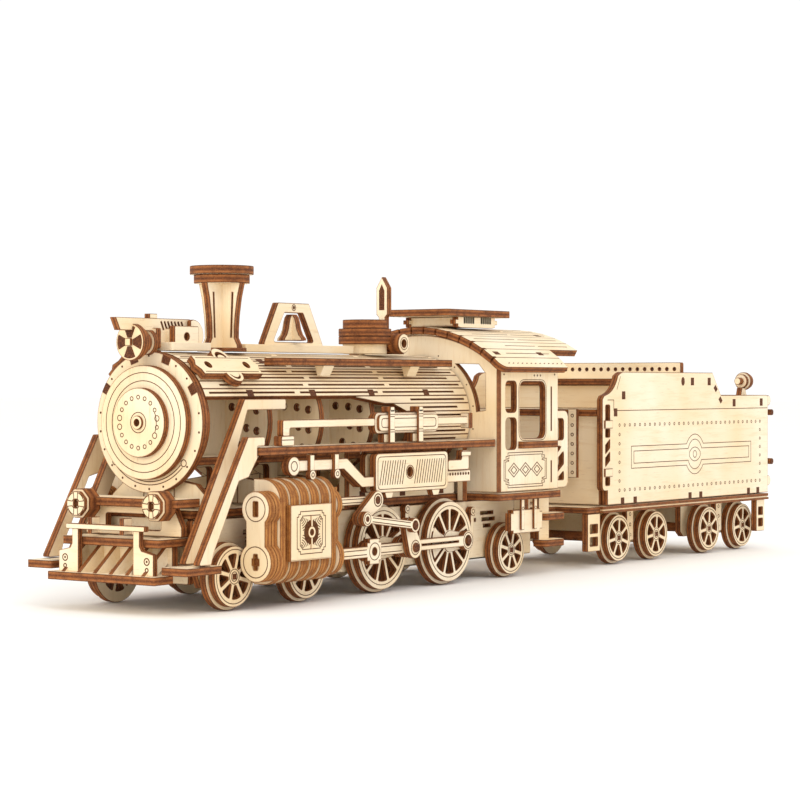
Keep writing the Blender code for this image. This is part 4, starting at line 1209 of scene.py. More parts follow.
def stack_outline(side, inset):
    """The cylinder's barrel outline, drawn in by an inset."""
    reach = 5.4 - inset
    points = [(21.6, 6.0 + inset)] + arc((24.6, 11.4), reach, -90, 0, 8) + arc((24.6, 26.4), reach, 0, 90, 8)
    points.append((21.6, 31.8 - inset))
    return [(side * u, v) for u, v in points]


@draws_pair("cylinder_block", "stack", "z", "burnt_edge_plywood", ORANGE)
def cylinder_block(piece, side):
    """The cylinder: round covers in front, a barrel of alternating ribs and an engraved side plaque."""
    box = piece.box
    height = CRANK_PIN[1]
    upper = 24.7
    centre = side * 26.2
    top_hole = rounded_box(centre - 0.75, upper - 1.8, centre + 0.75, upper + 1.8, 0.3)
    low_hole = rounded([(centre + u, height + v) for u, v in (
        (-0.6, -1.9), (0.6, -1.9), (0.6, -0.8), (1.1, -0.8), (1.1, 0.8), (0.6, 0.8), (0.6, 1.9), (-0.6, 1.9),
        (-0.6, 0.8), (-1.1, 0.8), (-1.1, -0.8), (-0.6, -0.8))], 0.15, 2)
    eight = figure_eight(side, height, upper)
    piece.plate("YZ", eight, box.s0, 29.0, [top_hole, low_hole])
    piece.plate("YZ", eight, 29.05, 31.4)
    for spot, reach in (((centre, height), 3.75), ((centre, upper), 3.0)):
        piece.loop("YZ", box.s0, -1, spot, reach, FINE, 40)
    piece.solid("YZ", top_hole, 27.6, 28.2, EDGE)
    piece.solid("YZ", low_hole, 27.6, 28.2, EDGE)
    near, far = across(side, 25.2, 28.0)
    piston = rectangle(near, height - 1.8, far, height + 1.8)
    near, far = across(side, 23.2, 25.8)
    valve = rectangle(near, upper - 1.2, far, upper + 1.8)
    layers = 11
    pitch = (53.6 - 31.45) / layers
    for i in range(layers):
        low = 31.45 + pitch * i
        holes = ([piston] if low > 37 else []) + ([valve] if low > 45 else [])
        piece.plate("YZ", stack_outline(side, 0.55 if i % 2 else 0.0), low, low + pitch - 0.06, holes)
    piece.plate("YZ", figure_eight(side, height, upper), 53.65, 55.6, [piston, valve])
    near, far = across(side, 21.6, 27.4)
    piece.plate("YZ", rectangle(near, 8.0, far, 29.0), 55.65, box.s1, [piston, valve])
    near, far = across(side, 16.6, 22.4)
    piece.plate("XY", rectangle(36.0, near, 52.0, far), 19.0, 21.0)
    cylinder_plaque(piece, side)


def cylinder_plaque(piece, side):
    """The pale plate on the barrel's side: a notched double frame with a ring and fans in its corners."""
    low, face = side * 29.5, side * 30.75
    u0, u1, v0, v1 = 34.5, 50.7, 11.6, 25.4
    piece.plate("XZ", rounded_box(u0, v0, u1, v1, 0.3), low, face)
    middle = ((u0 + u1) / 2, (v0 + v1) / 2)
    piece.line("XZ", face, side, notched(u0 + 2.5, v0 + 1.7, u1 - 2.5, v1 - 1.7, 1.3), True, FINER)
    f0, f1, g0, g1 = u0 + 3.7, u1 - 3.7, v0 + 2.8, v1 - 2.8
    piece.line("XZ", face, side, notched(f0, g0, f1, g1, 0.9), True, FINER)
    oval = [(middle[0] + 2.9 * math.cos(math.radians(a)), middle[1] + 3.0 * math.sin(math.radians(a)))
            for a in range(0, 360, 15)]
    piece.solid("XZ", oval, face - side * 0.15, face + side * 0.03)
    for corner_u, corner_v, start in ((f0, g0, 0), (f1, g0, 90), (f1, g1, 180), (f0, g1, 270)):
        for radius in (1.3, 1.9, 2.5, 3.1, 3.7):
            fan = arc((corner_u, corner_v), radius, start + 16, start + 74, 6)
            piece.line("XZ", face, side, fan, width=FINER)
    bar_low, bar_high = face - side * 0.1, face + side * 0.22
    piece.plate("XZ", circle(middle, 1.45, 20), bar_low, bar_high, [circle(middle, 0.8, 14)], halo=0.12,
                chamfer=0.05)
    for v_low, v_high in ((g0, middle[1] - 1.4), (middle[1] + 1.4, g1)):
        piece.plate("XZ", rectangle(middle[0] - 0.3, v_low, middle[0] + 0.3, v_high), bar_low, bar_high,
                    halo=0.08, chamfer=0.05)


# ---------------------------------------------------------------- running boards and what they carry

@draws_pair("running_board", "planks", "x")
def running_board(piece, side):
    """The long board beside the boiler, with the hangers under it."""
    box = piece.box
    near, far = across(side, 16.6, 26.0)
    slots = [rectangle(s, side * 24.0 - 0.5, s + 2.2, side * 24.0 + 0.5) for s in (34.0, 62.0, 110.0)]
    piece.plate("XY", rounded_box(box.s0, near, box.s1, far, 0.4), box.z1 - PLY, box.z1, slots)
    piece.line("XY", box.z1, 1, [(box.s0 + 2, side * 18.4), (box.s1 - 2, side * 18.4)], width=FINE)
    near, far = across(side, 16.6, 18.6)
    for s in (58.4, 72.0, 126.0):
        piece.plate("YZ", rectangle(near, box.z0, far, box.z1 - 1.9), s, s + PLY)


@draws_pair("air_tank", "layers", "x")
def air_tank(piece, side):
    """The air tank with its straps and the pipe that runs through it."""
    box = piece.box
    middle = side * 23.8
    tank = rounded_box(76.6, 42.0, 105.0, 47.5, 1.8, 6)
    inset = rounded_box(77.4, 42.6, 104.2, 46.9, 1.5, 6)
    piece.layer(side, tank, 22.9, 24.8)
    piece.layer(side, inset, 21.9, 22.85)
    piece.layer(side, inset, 24.85, 25.6)
    piece.line("XZ", side * 25.6, side, rounded_box(78.6, 43.6, 103.0, 45.9, 0.9, 4), True, FINER)
    base = BOARD.z1 + 0.1
    elbow = [(38.9, base + 2.4), (41.6, base + 2.4), (41.6, 44.0), (76.8, 44.0), (76.8, 46.0), (38.9, 46.0)]
    near, far = middle - 0.95, middle + 0.95
    piece.plate("XZ", rounded(elbow, 0.6), near, far, halo=0.25)
    piece.plate("XZ", rounded_box(38.0, base, 43.0, base + 2.5, 0.6), middle - 1.3, middle + 1.3, halo=0.25)
    piece.line("XZ", middle + side * 1.3, side, [(38.2, base + 1.5), (42.8, base + 1.5)], width=FINER)
    piece.plate("XZ", rectangle(104.8, 44.0, box.s1 - 1.0, 46.0), near, far, halo=0.25)
    piece.plate("YZ", rounded_box(middle - 1.4, 42.8, middle + 1.4, 47.0, 0.3), 119.2, 121.1, halo=0.25)
    for s in (81.3, 94.1):
        piece.layer(side, rounded_box(s - 1.0, base, s + 3.2, 41.9, 0.4), 23.0, 25.0, halo=0.25)
        piece.layer(side, rectangle(s, base, s + 2.2, 48.2), 25.65, 26.3, halo=SLIM)
        piece.layer(side, rounded_box(s + 0.2, 47.6, s + 2.0, 49.0, 0.3), 23.2, 26.3, halo=SLIM)
        for z in (42.4, 43.0, 46.4, 47.0):
            piece.line("XZ", side * 26.3, side, [(s + 0.2, z), (s + 2.0, z)], width=HAIR)


@draws_pair("brake_box", "plates", "x", "warm_plywood")
def brake_box(piece, side):
    """The hatched control box under the running board, with its pipe and toothed elbow."""
    face = side * 26.6
    panel = rounded_box(74.6, 26.7, 107.2, 36.9, 1.6)
    valve = (89.8, 31.8)
    piece.layer(side, panel, 24.6, 26.6, [circle(valve, 1.3, 18)])
    piece.layer(side, panel, 21.4, 23.2)
    near, far = across(side, 23.1, 24.7)
    for s in (78.0, 92.5, 103.0):
        piece.plate("YZ", rectangle(near, 27.6, far, 36.4), s, s + PLY)
    piece.line("XZ", face, side, rounded_box(75.6, 27.6, 106.2, 36.0, 1.3), True, FINER)
    for i in range(26):
        s = 76.4 + 1.1 * i
        if abs(s + 0.75 - valve[0]) > 1.9:
            piece.line("XZ", face, side, [(s, 28.7), (s + 1.5, 35.0)], width=0.26)
    piece.loop("XZ", face, side, valve, 1.75, FINER, 20)
    for s in (79.5, 100.5):
        lug = [(s, 25.2), (s + 2.4, 25.2), (s + 3.2, 26.8), (s - 0.8, 26.8)]
        piece.layer(side, rounded(lug, 0.3, 2), 24.7, 26.5, halo=SLIM)
    pipe = [(40.6, 33.3), (62.0, 33.3), (69.6, 28.4), (75.0, 28.4), (75.0, 31.0), (70.6, 31.0), (63.4, 36.0),
            (40.6, 36.0)]
    piece.layer(side, rounded(pipe, 0.5, 3), 23.0, 26.0)
    piece.layer(side, circle((41.5, 34.6), 2.4, 24), 24.0, 26.25)
    piece.loop("XZ", side * 26.25, side, (41.5, 34.6), 1.2, 0.24, 18)
    for s in (47.0, 57.0):
        piece.layer(side, rectangle(s, 32.6, s + 1.8, 37.3), 25.6, 26.9, halo=0.25)
        piece.layer(side, circle((s + 0.9, 32.3), 1.25, 16), 25.6, 27.1, halo=SLIM)
        piece.loop("XZ", side * 27.1, side, (s + 0.9, 32.3), 0.55, FINER, 10)
    elbow = [(107.3, 31.6), (117.2, 31.6), (117.2, 36.9), (113.8, 36.9), (113.8, 34.4), (107.3, 34.4)]
    piece.layer(side, rounded(elbow, 0.7, 3), 24.6, 26.6)
    piece.layer(side, rounded_box(113.2, 35.3, 117.8, 36.6, 0.3), 26.0, 26.9, halo=SLIM)
    piece.layer(side, rectangle(107.3, 28.3, 119.4, 31.5), 23.6, 25.6)
    for i in range(9):
        piece.dot("XZ", side * 25.6, side, (108.4 + 1.25 * i, 30.5), 0.42)


# ---------------------------------------------------------------- cab

ROOF = extent("cab_roof")
ROOF_RADIUS = 43.0
ROOF_CENTRE = ROOF.z1 - ROOF_RADIUS


@draws("cab_roof", "cab_roof_sheet", "x")
def cab_roof(piece):
    """The bent roof: strips with a fine seam between them, notched along the front rim."""
    edge_angle = math.degrees(math.asin(29.25 / ROOF_RADIUS))
    strips = 15
    step = 2 * edge_angle / strips
    half = math.radians(step) / 2 * ROOF_RADIUS
    inner, outer = ROOF_RADIUS - PLY, ROOF_RADIUS
    notch = 0.3
    front = ROOF.s0
    reach = half - 0.06
    for i in range(strips):
        degrees = -edge_angle + step * (i + 0.5)
        plane = wrapped(ROOF_CENTRE, degrees)
        rear = ROOF.s1 if abs(degrees) < 29.5 else 164.5
        from_eaves = min(i, strips - 1 - i)
        turn = -1 if i == 0 else 1
        edge = [(rear, reach), (front + 1.6, reach), (front + 1.4, reach - notch), (front, reach - notch)]
        outline = edge + [(u, -v) for u, v in reversed(edge)]
        if from_eaves == 0:
            corner = arc((front + 2.6, turn * (reach - 2.6)), 2.6, 180, 180 - turn * 90, 6)
            outline = [(front, -turn * (reach - notch)), (front + 1.6, -turn * reach), (rear, -turn * reach),
                       (rear - 0.6, turn * reach), *reversed(corner)]
        piece.plate(plane, outline, inner, outer, halo=0.1, chamfer=0.05)
        if from_eaves == 0:
            for s in spread(front + 4.5, rear - 2.5, 13):
                piece.line(plane, outer, 1, [(s, turn * 0.5), (s + 0.9, turn * 0.2)], width=0.26)
        else:
            for a, b in dashes(front + 4.0 + 5.0 * (i % 3), rear - 3.0, 18.0, 1.8):
                piece.line(plane, outer, 1, [(a, 0), (b, 0)], width=0.24)
        if from_eaves == 1:
            for s in (front + 3.0, rear - 9.0):
                piece.tab(plane, outer, 1, s, -0.6, s + 2.4, 0.6)
        if from_eaves == 4:
            piece.tab(plane, outer, 1, rear - 8.0, -0.6, rear - 5.6, 0.6)


@draws("roof_vent", "roof_vent_plates", "x", "warm_plywood")
def roof_vent(piece):
    """The ventilator on the roof: a lid over slotted side plates, with a dark sheet of painted shade behind
    the slots.
    """
    box = piece.box
    piece.plate("XY", rounded_box(box.s0, box.y0, box.s1, box.y1, 1.2, 5), box.z1 - PLY, box.z1)
    border = rounded_box(box.s0 + 2.5, box.y0 + 2.5, box.s1 - 2.5, box.y1 - 2.5, 1.0)
    piece.line("XY", box.z1, 1, border, True, FINER)
    foot = ROOF.z1 + 0.25
    middle = 146.6
    for s in (137.6, 153.6):
        piece.plate("YZ", rounded_box(-8.6, foot, 8.6, box.z1 - 2.1, 0.3), s, s + PLY)
    for side in (-1, 1):
        slots = []
        for start in (140.2, 148.8):
            slots += [rectangle(start + 1.1 * i, 72.3, start + 1.1 * i + 0.5, 73.8) for i in range(5)]
        front_edge = [(137.2, box.z1 - 2.1), (137.2, 73.2), (136.0, 73.2), (136.0, 72.0), (137.2, 72.0),
                      (137.2, 71.2), (138.6, box.z0 + 0.3)]
        outline = front_edge + [(2 * middle - s, z) for s, z in reversed(front_edge)]
        piece.layer(side, outline, 7.2, 9.2, slots, halo=0.12, chamfer=0.06)
        # Painted shade: a dark brown sheet just inside each side plate stands in for the shade inside the
        # ventilator, seen through the slots.
        piece.solid("XZ", rectangle(139.8, 72.0, 155.0, 73.9), *across(side, 6.9, 7.1))


@draws("cab_front_wall", "cab_front_sheet", "z")
def cab_front_wall(piece):
    """The cab's front sheet with a window each side, and the backhead inside it."""
    box = piece.box
    clearance = ROOF_RADIUS - PLY - 0.3
    edge = 26.2
    reach = math.degrees(math.asin(edge / clearance))
    top = arc((0, ROOF_CENTRE), clearance, 90 - reach, 90 + reach, 24)
    windows = []
    for side in (-1, 1):
        window = arc((0, BOILER_AXIS), 19.4, 5, 51, 12) + [(20.0, 60.4), (22.3, 57.8), (22.3, 47.6)]
        windows.append([(side * u, v) for u, v in window])
    piece.plate("YZ", [(-edge, box.z0), (edge, box.z0), *top], box.s0, box.s1, windows)
    for side in (-1, 1):
        for angle in range(-30, 71, 20):
            spot = polar((0, BOILER_AXIS), 18.4, angle)
            piece.dot("YZ", box.s0, -1, (side * spot[0], spot[1]), 0.22)
    centre = (0, BOILER_AXIS - 1)
    door = rounded_box(-3.4, 36.0, 3.4, 41.0, 1.4)
    openings = [door, circle((-8.5, 47.5), 1.4, 14)]
    piece.plate("YZ", circle(centre, 14.0, 48), box.s1 + 0.1, box.s1 + 2.1, openings)
    for spot, radius in (((-4.5, 51.5), 2.2), ((4.5, 51.5), 2.2), ((8.5, 45.5), 1.5)):
        piece.plate("YZ", circle(spot, radius, 20), box.s1 + 2.1, box.s1 + 3.1)
        piece.loop("YZ", box.s1 + 3.1, 1, spot, radius * 0.6, FINER, 16)
    piece.loop("YZ", box.s1 + 2.1, 1, centre, 12.4, FINE, 40)


@draws_pair("cab_side", "sheet", "z")
def cab_side(piece, side):
    """The cab's side sheet: three windows, a notched panel, the arm rest and the rear hand rail."""
    box = piece.box
    windows = [rounded_box(136.2, 46.9, 141.8, 55.7, 1.6, 5), rounded_box(136.2, 36.5, 141.8, 45.4, 1.6, 5),
               rounded_box(143.4, 39.4, 156.8, 55.6, 2.6, 6),
               slit((160.0, 41.5), (160.0, 54.0), 0.45), slit((160.0, 26.8), (160.0, 32.8), 0.45)]
    face = side * 26.0
    piece.layer(side, rectangle(box.s0 + 2.2, box.z0, box.s1, box.z1 + 1.2), 24.0, 26.0, windows, halo=0.24)
    piece.line("XZ", face, side, rounded_box(142.9, 38.9, 157.3, 56.1, 2.9, 6), True, HAIR)
    piece.line("XZ", face, side, notched(135.4, 25.8, 157.4, 35.6, 2.0), True, FINER)
    piece.line("XZ", face, side, notched(136.1, 26.5, 156.7, 34.9, 1.8), True, HAIR)
    for s in (140.4, 146.4, 152.4):
        for reach in (2.8, 1.5):
            lozenge = [(s - reach, 30.7), (s, 30.7 + reach * 0.7), (s + reach, 30.7), (s, 30.7 - reach * 0.7)]
            piece.line("XZ", face, side, lozenge, True, 0.24)
    for s, z in ((137.6, 28.0), (137.6, 33.4), (155.2, 28.0), (155.2, 33.4), (135.4, 57.6), (161.8, 57.6)):
        piece.dot("XZ", face, side, (s, z), 0.3)
    for s in (151.0, 152.6, 154.2):
        piece.dot("XZ", face, side, (s, 57.3), 0.3)
    piece.layer(side, rectangle(133.7, box.z0, 135.4, 59.7), 22.4, 23.95, halo=SLIM)
    piece.layer(side, rectangle(135.5, 56.6, 163.0, 59.7), 22.4, 23.95, halo=SLIM)
    near, far = across(side, 25.6, 27.6)
    piece.plate("XY", rounded_box(142.6, near, 161.6, far, 0.8), 36.7, 38.7)
    rail_holes = [rounded_box(161.8, 38.6, 170.4, 44.8, 1.0),
                  rounded([(161.8, 36.8), (161.8, 31.6), (169.6, 36.8)], 0.5, 2),
                  rounded([(170.4, 35.4), (170.4, 31.6), (162.6, 26.6), (161.8, 27.0), (161.8, 29.8)],
                          0.5, 2),
                  rounded([(170.4, 29.6), (170.4, 27.0), (166.2, 27.0)], 0.4, 2)]
    rail = rounded_box(160.6, 24.7, 172.8, 47.2, 2.4, 6)
    piece.layer(side, rail, 21.9, 23.7, rail_holes)


@draws("cab_floor", "cab_floor_boards", "x", "warm_plywood")
def cab_floor(piece):
    """The cab floor with its step boards, hung box and drawbar shelf."""
    box = piece.box
    top = DECK_TOP
    piece.plate("XY", rounded_box(box.s0, box.y0, 162.6, box.y1, 1.2, 4), top - PLY, top)
    piece.line("XY", top, 1, [(140.0, -20.0), (140.0, 20.0)], width=FINER)
    piece.plate("YZ", rounded_box(-14.0, 6.5, 14.0, 22.4, 0.6), 159.0, 161.0)
    shelf = [(160.0, -8.0), (166.0, -8.0), (173.0, -3.0), (173.0, 3.0), (166.0, 8.0), (160.0, 8.0)]
    piece.plate("XY", rounded(shelf, 1.0), 11.4, 13.4)
    piece.rod("Z", (170.0, 0), 1.5, 12.0, 18.6)
    for side in (-1, 1):
        piece.layer(side, rounded_box(156.4, 9.0, 162.0, 22.3, 0.4), 22.1, 24.0)
        near, far = across(side, 22.0, 27.0)
        for level in (15.8, 8.2):
            piece.plate("XY", rounded_box(155.6, near, 166.4, far, 1.8, 6), level, level + PLY)
        hung = [(138.6, 13.6), (139.8, 13.6), (139.8, 12.8), (153.8, 12.8), (153.8, 13.6), (155.0, 13.6),
               (155.0, 18.6), (153.8, 18.6), (153.8, 19.4), (139.8, 19.4), (139.8, 18.6), (138.6, 18.6)]
        piece.layer(side, hung, 24.2, 26.2)
        for s in (143.0, 149.6):
            piece.layer(side, rectangle(s, 13.8, s + 1.6, 22.4), 26.2, 26.9, halo=SLIM)
            piece.loop("XZ", side * 26.9, side, (s + 0.8, 19.8), 0.45, HAIR, 10)
        near, far = across(side, 22.2, 26.0)
        piece.plate("YZ", rectangle(near, 18.6, far, 22.4), 146.0, 148.0)


# ---------------------------------------------------------------- tender


@draws_pair("tender_side", "sheet", "x")
def tender_side(piece, side):
    """The tender's side sheet: tab ends, rows of rivets, a banded panel and a plain round emblem."""
    box = piece.box
    face = side * 26.2
    corner = [(box.s1 - 0.8, 51.2), (262.0, 51.2), (256.3, box.z1)]
    outline = [(box.s0 + 3.0, box.z0), (box.s1, box.z0), (box.s1, 50.4), *corner, (199.9, box.z1),
               (198.7, 58.2),
               *arc((188.6, 60.5), 9.0, -20, -72, 12), (189.0, 51.3), (box.s0, 50.3),
               *arc((box.s0 + 1.4, 24.4), 1.4, 180, 270, 4), (box.s0 + 3.0, 23.0)]
    slots = [rounded_box(189.8, 42.6, 192.4, 48.6, 0.5, 2), rounded_box(189.8, 39.0, 192.4, 41.4, 0.4, 2),
             rounded([(189.8, 36.6), (192.4, 38.4), (192.4, 35.8), (189.8, 34.0)], 0.2, 2),
             rounded([(189.8, 32.8), (192.4, 34.6), (192.4, 32.0), (189.8, 30.2)], 0.2, 2),
             rounded_box(189.8, 24.6, 192.4, 27.0, 0.5, 2)]
    piece.layer(side, outline, 24.2, 26.2, slots)
    for z in (41.6, 27.2):
        piece.layer(side, rectangle(189.0, z, 193.4, z + 2.4), 25.9, 26.7, halo=0.3)
    seam = [(191.0, 50.1), (194.6, 50.1), (194.6, 46.9), (box.s1 - 0.6, 46.9)]
    piece.line("XZ", face, side, seam, width=FINER)
    piece.line("XZ", face, side, [(196.4, 53.2), (198.6, 57.2)], width=0.16)
    columns = spread(198.0, 289.0, 31)
    for z in (42.5, 22.9):
        for s in columns:
            piece.loop("XZ", face, side, (s, z), 0.42, FINER, 8)
    for s in (columns[0], columns[-1]):
        for z in spread(22.9, 42.5, 8)[1:-1]:
            piece.loop("XZ", face, side, (s, z), 0.42, FINER, 8)
    middle = (244.6, 32.7)
    for inset, reach in ((0.0, 6.3), (1.5, 4.7)):
        u0, u1, v0, v1 = 205.0 + inset, 282.6 - inset, 29.3 + inset, 36.0 - inset
        half = (v1 - v0) / 2
        lean = math.degrees(math.asin(half / reach))
        gap = math.sqrt(reach ** 2 - half ** 2)
        for turn in (-1, 1):
            end = u0 if turn < 0 else u1
            near = middle[0] + turn * gap
            piece.line("XZ", face, side, [(near, v1), (end, v1), (end, v0), (near, v0)], width=FINER)
        for start in (lean, 180 + lean):
            piece.line("XZ", face, side, arc(middle, reach, start, start + 180 - 2 * lean, 20), width=FINER)
    lens = arc((middle[0], middle[1] - 2.4), 4.6, 40, 140, 10)
    lens += arc((middle[0], middle[1] + 2.4), 4.6, 220, 320, 10)
    piece.line("XZ", face, side, lens, True, FINER)
    piece.loop("XZ", face, side, middle, 1.1, FINER, 18)
    tabs = ((200.4, 50.4), (195.7, 45.3), (243.0, 54.6), (254.0, 54.6), (270.9, 47.7), (290.0, 47.8))
    for s, z in tabs:
        piece.tab("XZ", face, side, s - 0.85, z, s + 0.85, z + 2.1)
    for s in (199.8, 207.3, 241.5, 248.5, 281.0, 287.6):
        piece.tab("XZ", face, side, s - 0.85, 18.9, s + 0.85, 20.5)
    for s, z in ((258.3, 53.4), (261.6, 49.7)):
        lozenge = [(s - 1.2, z + 0.2), (s + 0.1, z - 1.1), (s + 1.2, z - 0.2), (s - 0.1, z + 1.1)]
        piece.solid("XZ", lozenge, face - side * 0.2, face + side * 0.05, EDGE)
        piece.line("XZ", face, side, lozenge, True, 0.16)
    oval = [(236.9 + 1.0 * math.cos(math.radians(a)), 55.7 + 1.3 * math.sin(math.radians(a)))
            for a in range(0, 360, 30)]
    piece.solid("XZ", oval, face - side * 0.2, face + side * 0.05, EDGE)
    piece.line("XZ", face, side, oval, True, 0.16)


@draws("tender_frame", "tender_underframe", "x", "warm_plywood")
def tender_frame(piece):
    """The tender's floor on two bogies, with ladders, front platform and drawbar."""
    box = piece.box
    for inset, low, high, rim in ((0.0, PLY, 1.3, EDGE), (0.35, 1.28, 0.92, FACE), (0.1, 0.9, 0.0, EDGE)):
        floor = rounded_box(188.1 + inset, box.y0 + inset, box.s1 - inset, box.y1 - inset, 0.5)
        piece.plate("XY", floor, box.z1 - low, box.z1 - high, rim=rim, halo=SLIM, chamfer=0.05)
    piece.plate("XY", rounded_box(173.6, -14.0, 188.6, 14.0, 1.0), 16.5, 18.3)
    for side in (-1, 1):
        for first in (1, 3):
            a, b = (wheel_centre("tender_wheelset_%d" % number) for number in (first, first + 1))
            outline = [(a[0] - 8, 7.0), (a[0] - 6, 5.4), (b[0] + 6, 5.4), (b[0] + 8, 7.0), (b[0] + 8, 16.4),
                       (a[0] - 8, 16.4)]
            piece.layer(side, rounded(outline, 0.6), 13.0, 15.0, [circle(a, 1.8, 14), circle(b, 1.8, 14)])
            middle = (a[0] + b[0]) / 2
            piece.layer(side, rounded_box(middle - 2.0, 6.4, middle + 2.0, 16.3, 0.6), 16.6, 18.4)
            for z in (8.2, 11.4, 14.6):
                piece.loop("XZ", side * 18.4, side, (middle, z), 0.5, FINER, 10)
        for front, rear, foot in ((181.4, 188.4, 5.2), (288.6, 294.4, 5.9)):
            treads = (foot + 1.6, foot + 5.4)
            rungs = [rounded_box(front + 1.3, z, rear - 1.3, z + 2.6, 0.3, 2) for z in treads]
            piece.layer(side, rounded_box(front, foot, rear, 16.35, 0.4), 23.2, 25.2, rungs, halo=0.22)
        near, far = across(side, 13.6, 25.2)
        piece.plate("XY", rounded_box(181.4, near, 190.0, far, 0.5), 16.5, 18.3)
    for s in (216.6, 273.8):
        piece.plate("YZ", rounded_box(-13.5, 6.0, 13.5, 16.4, 0.5), s, s + PLY)
    pivot = (170.0, 0)
    drawbar = capsule(pivot, (181.0, 0), 3.4, 12)
    piece.plate("XY", drawbar, box.z0, box.z0 + PLY, [circle(pivot, 1.8, 20)])


@draws("tender_body", "tender_bulkheads", "y")
def tender_body(piece):
    """Bulkheads and shelves of the coal space, the deck, and the rear wall with its lamp and rails."""
    box = piece.box
    half = 23.8
    rear = 293.4
    piece.plate("YZ", rectangle(-half, box.z0, half, 45.6), 190.2, 192.2)
    for y in (-16.2, 16.2):
        piece.plate("YZ", rectangle(y - 1.5, 26.8, y + 1.5, 47.4), 187.2, 188.5, halo=SLIM)
        for z in spread(28.4, 45.4, 7):
            piece.loop("YZ", 187.2, -1, (y, z), 0.45, FINE, 8)
    piece.plate("XY", rectangle(188.6, -half, 206.0, half), 45.2, 47.3)
    piece.plate("YZ", rectangle(-half, 47.4, half, 54.5), 204.0, 206.0)
    piece.plate("XY", rectangle(202.6, -half, 239.5, half), 54.6, 56.5,
                [rounded_box(210.0, -17.0, 235.0, 17.0, 1.2)])
    pierced = [circle((y, 59.6), 0.55, 10) for y in spread(-21.6, 21.6, 17)]
    piece.plate("YZ", rounded_box(-half, 48.5, half, box.z1, 0.6), 239.6, 241.6, pierced, halo=SLIM)
    piece.plate("XY", rectangle(239.8, -half, 291.3, half), 46.4, 48.4)
    piece.plate("XY", circle((269.0, 0), 6.2, 32), 48.5, 50.0)
    piece.loop("XY", 50.0, 1, (269.0, 0), 4.6, FINE, 32)
    piece.plate("XZ", rounded_box(265.5, 50.0, 272.5, 51.6, 0.4), -0.9, 0.9, halo=SLIM)
    piece.plate("YZ", rectangle(-half, box.z0, half, 51.2), rear - PLY, rear)
    for z in (22.6, 45.0):
        for y in spread(-15.0, 15.0, 11):
            piece.loop("YZ", rear, 1, (y, z), 0.42, FINER, 8)
    piece.line("YZ", rear, 1, notched(-13.0, 27.0, 13.0, 41.0, 2.0), True, FINER)
    piece.line("YZ", rear, 1, notched(-11.8, 28.2, 11.8, 39.8, 1.7), True, FINER)
    piece.loop("YZ", rear, 1, (0, 34), 3.6, FINE, 32)
    piece.loop("YZ", rear, 1, (0, 34), 2.4, FINE, 28)
    spine = [(191.0, box.z0), (291.2, box.z0), (291.2, 46.3), (241.0, 46.3), (241.0, 54.5), (206.2, 54.5),
             (206.2, 45.1), (191.0, 45.1)]
    bays = [rounded_box(s, 23.0, s + 24.0, 40.0, 2.0) for s in (198.0, 228.0, 258.0)]
    piece.plate("XZ", spine, -1.0, 1.0, bays)
    lamp = (-17.4, 55.8)
    piece.plate("XZ", rounded([(290.0, 47.0), (295.2, 47.0), (295.2, 49.4), (293.6, 53.6), (291.4, 53.6),
                               (290.0, 49.4)], 0.4), -18.4, -16.4)
    piece.plate("YZ", circle(lamp, 3.0, 28), 293.6, 295.0, [circle(lamp, 1.0, 14)])
    piece.plate("YZ", circle(lamp, 2.3, 24), 292.2, 293.5)
    piece.plate("YZ", circle(lamp, 2.6, 24), 295.1, 296.4, [circle(lamp, 1.4, 14)])
    piece.plate("YZ", circle(lamp, 1.2, 16), 289.8, 292.1)
    for side in (-1, 1):
        rail = [(rear, 22.0), (box.s1 - 0.6, 22.0), (box.s1, 22.6), (box.s1, 50.0), (box.s1 - 0.6, 50.6),
                (rear, 50.6)]
        piece.layer(side, rail, 21.8, 23.8, [rounded_box(294.9, 24.4, 296.8, 48.2, 0.4)])
        for z in (29.0, 45.4):
            piece.rod("Y", (297.2, z), 1.0, *across(side, 23.8, 26.6))
        for z in (22.6, 49.4):
            piece.layer(side, circle((296.3, z), 1.7, 18), 23.9, 25.6, halo=SLIM)


# ---------------------------------------------------------------- stage, light and camera

CAMERA_AT = (-406.0, -384.4, 55.0)      # station, y and height
CAMERA_BEARING = 36.066                 # degrees from straight back, towards the right
CAMERA_DIP = 0.405                      # degrees below the horizon
CAMERA_LENS = 104.6


def plain_material(name, colour, roughness):
    """The floor's finish: pale and even, with a breath of tone."""
    shader = Shader(name, roughness, 0.2)
    tone = shader.noise((1, 1, 1), 6, 2.0)
    shade = tuple(c * 0.98 for c in colour[:3]) + (1.0,)
    return shader.finish(shader.mix(tone, colour, shade), tone, 0.00001)


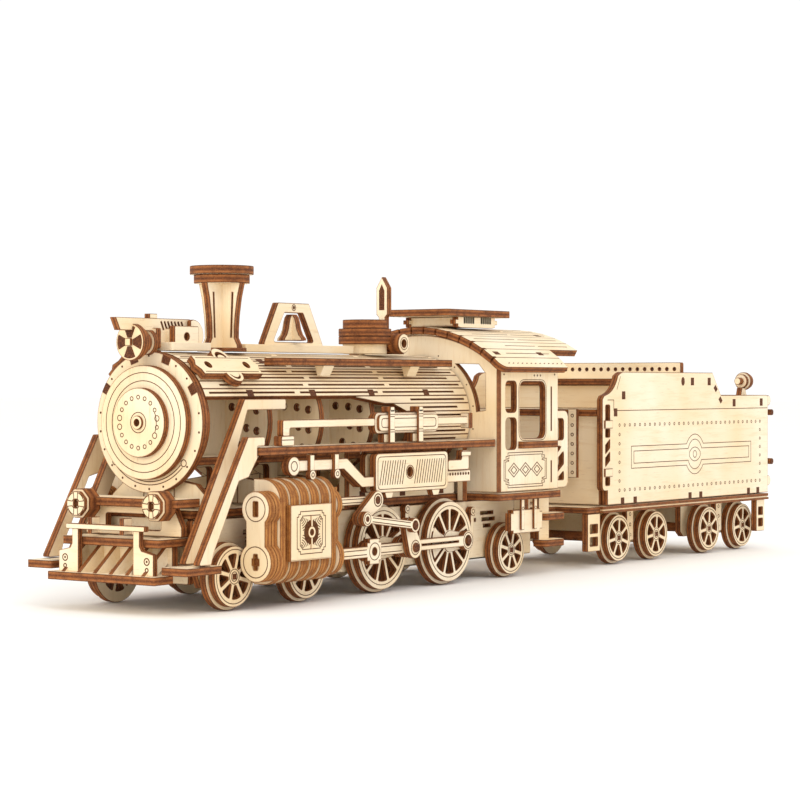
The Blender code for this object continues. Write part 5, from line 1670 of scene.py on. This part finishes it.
def make_floor():
    """A pale sweep that the model stands on."""
    mesh = bpy.data.meshes.new("floor")
    reach = 6.0     # metres from the middle to an edge
    corners = [(-reach, -reach), (reach, -reach), (reach, reach), (-reach, reach)]
    mesh.from_pydata([(x, y, CAD_BOX[0].z - 0.0001) for x, y in corners], [], [(0, 1, 2, 3)])
    mesh.materials.append(plain_material("pale_floor", linear(254, 253, 251), 0.9))
    floor = bpy.data.objects.new("floor", mesh)
    bpy.context.scene.collection.objects.link(floor)


def area_light(name, place_at, aim, size, power, colour):
    """A soft box that looks at a point."""
    light = bpy.data.lights.new(name, "AREA")
    light.shape = "DISK"
    light.size = size
    light.energy = power
    light.color = colour
    item = bpy.data.objects.new(name, light)
    item.location = place_at
    item.rotation_euler = (Vector(aim) - Vector(place_at)).to_track_quat("-Z", "Y").to_euler()
    bpy.context.scene.collection.objects.link(item)


def make_light():
    """A white surround, a large key over the front left and a weak fill."""
    world = bpy.data.worlds.new("studio")
    world.use_nodes = True
    background = world.node_tree.nodes["Background"]
    background.inputs["Color"].default_value = (1.0, 0.995, 0.985, 1.0)
    background.inputs["Strength"].default_value = 1.05
    bpy.context.scene.world = world
    area_light("key", (-0.55, -0.75, 0.85), (0.0, 0.0, 0.03), 0.5, 2.6, (1.0, 0.985, 0.97))
    area_light("front", (-1.3, 0.1, 0.35), (-0.05, 0.0, 0.03), 0.7, 5.0, (1.0, 0.93, 0.78))
    area_light("fill", (0.7, -0.5, 0.5), (0.05, 0.0, 0.03), 0.8, 1.0, (1.0, 0.98, 0.95))
    bpy.context.scene.view_settings.view_transform = "Standard"


def make_camera():
    """A long lens low over the front left corner."""
    camera = bpy.data.cameras.new("camera")
    camera.sensor_width = 36.0
    camera.lens = CAMERA_LENS
    camera.clip_start = 0.01
    camera.clip_end = 50.0
    item = bpy.data.objects.new("camera", camera)
    station, y, height = CAMERA_AT
    item.location = ((FRONT + station) * MM, y * MM, height * MM)
    tilt = math.radians(90.0 - CAMERA_DIP)
    turn = math.radians(CAMERA_BEARING - 90.0)
    item.rotation_euler = Euler((tilt, 0.0, turn), "XYZ")
    bpy.context.scene.collection.objects.link(item)
    bpy.context.scene.camera = item


for draw, extra, *description in BUILDERS:
    piece = Piece(*description)
    draw(piece, *extra)
    piece.done()
make_floor()
make_light()
make_camera()
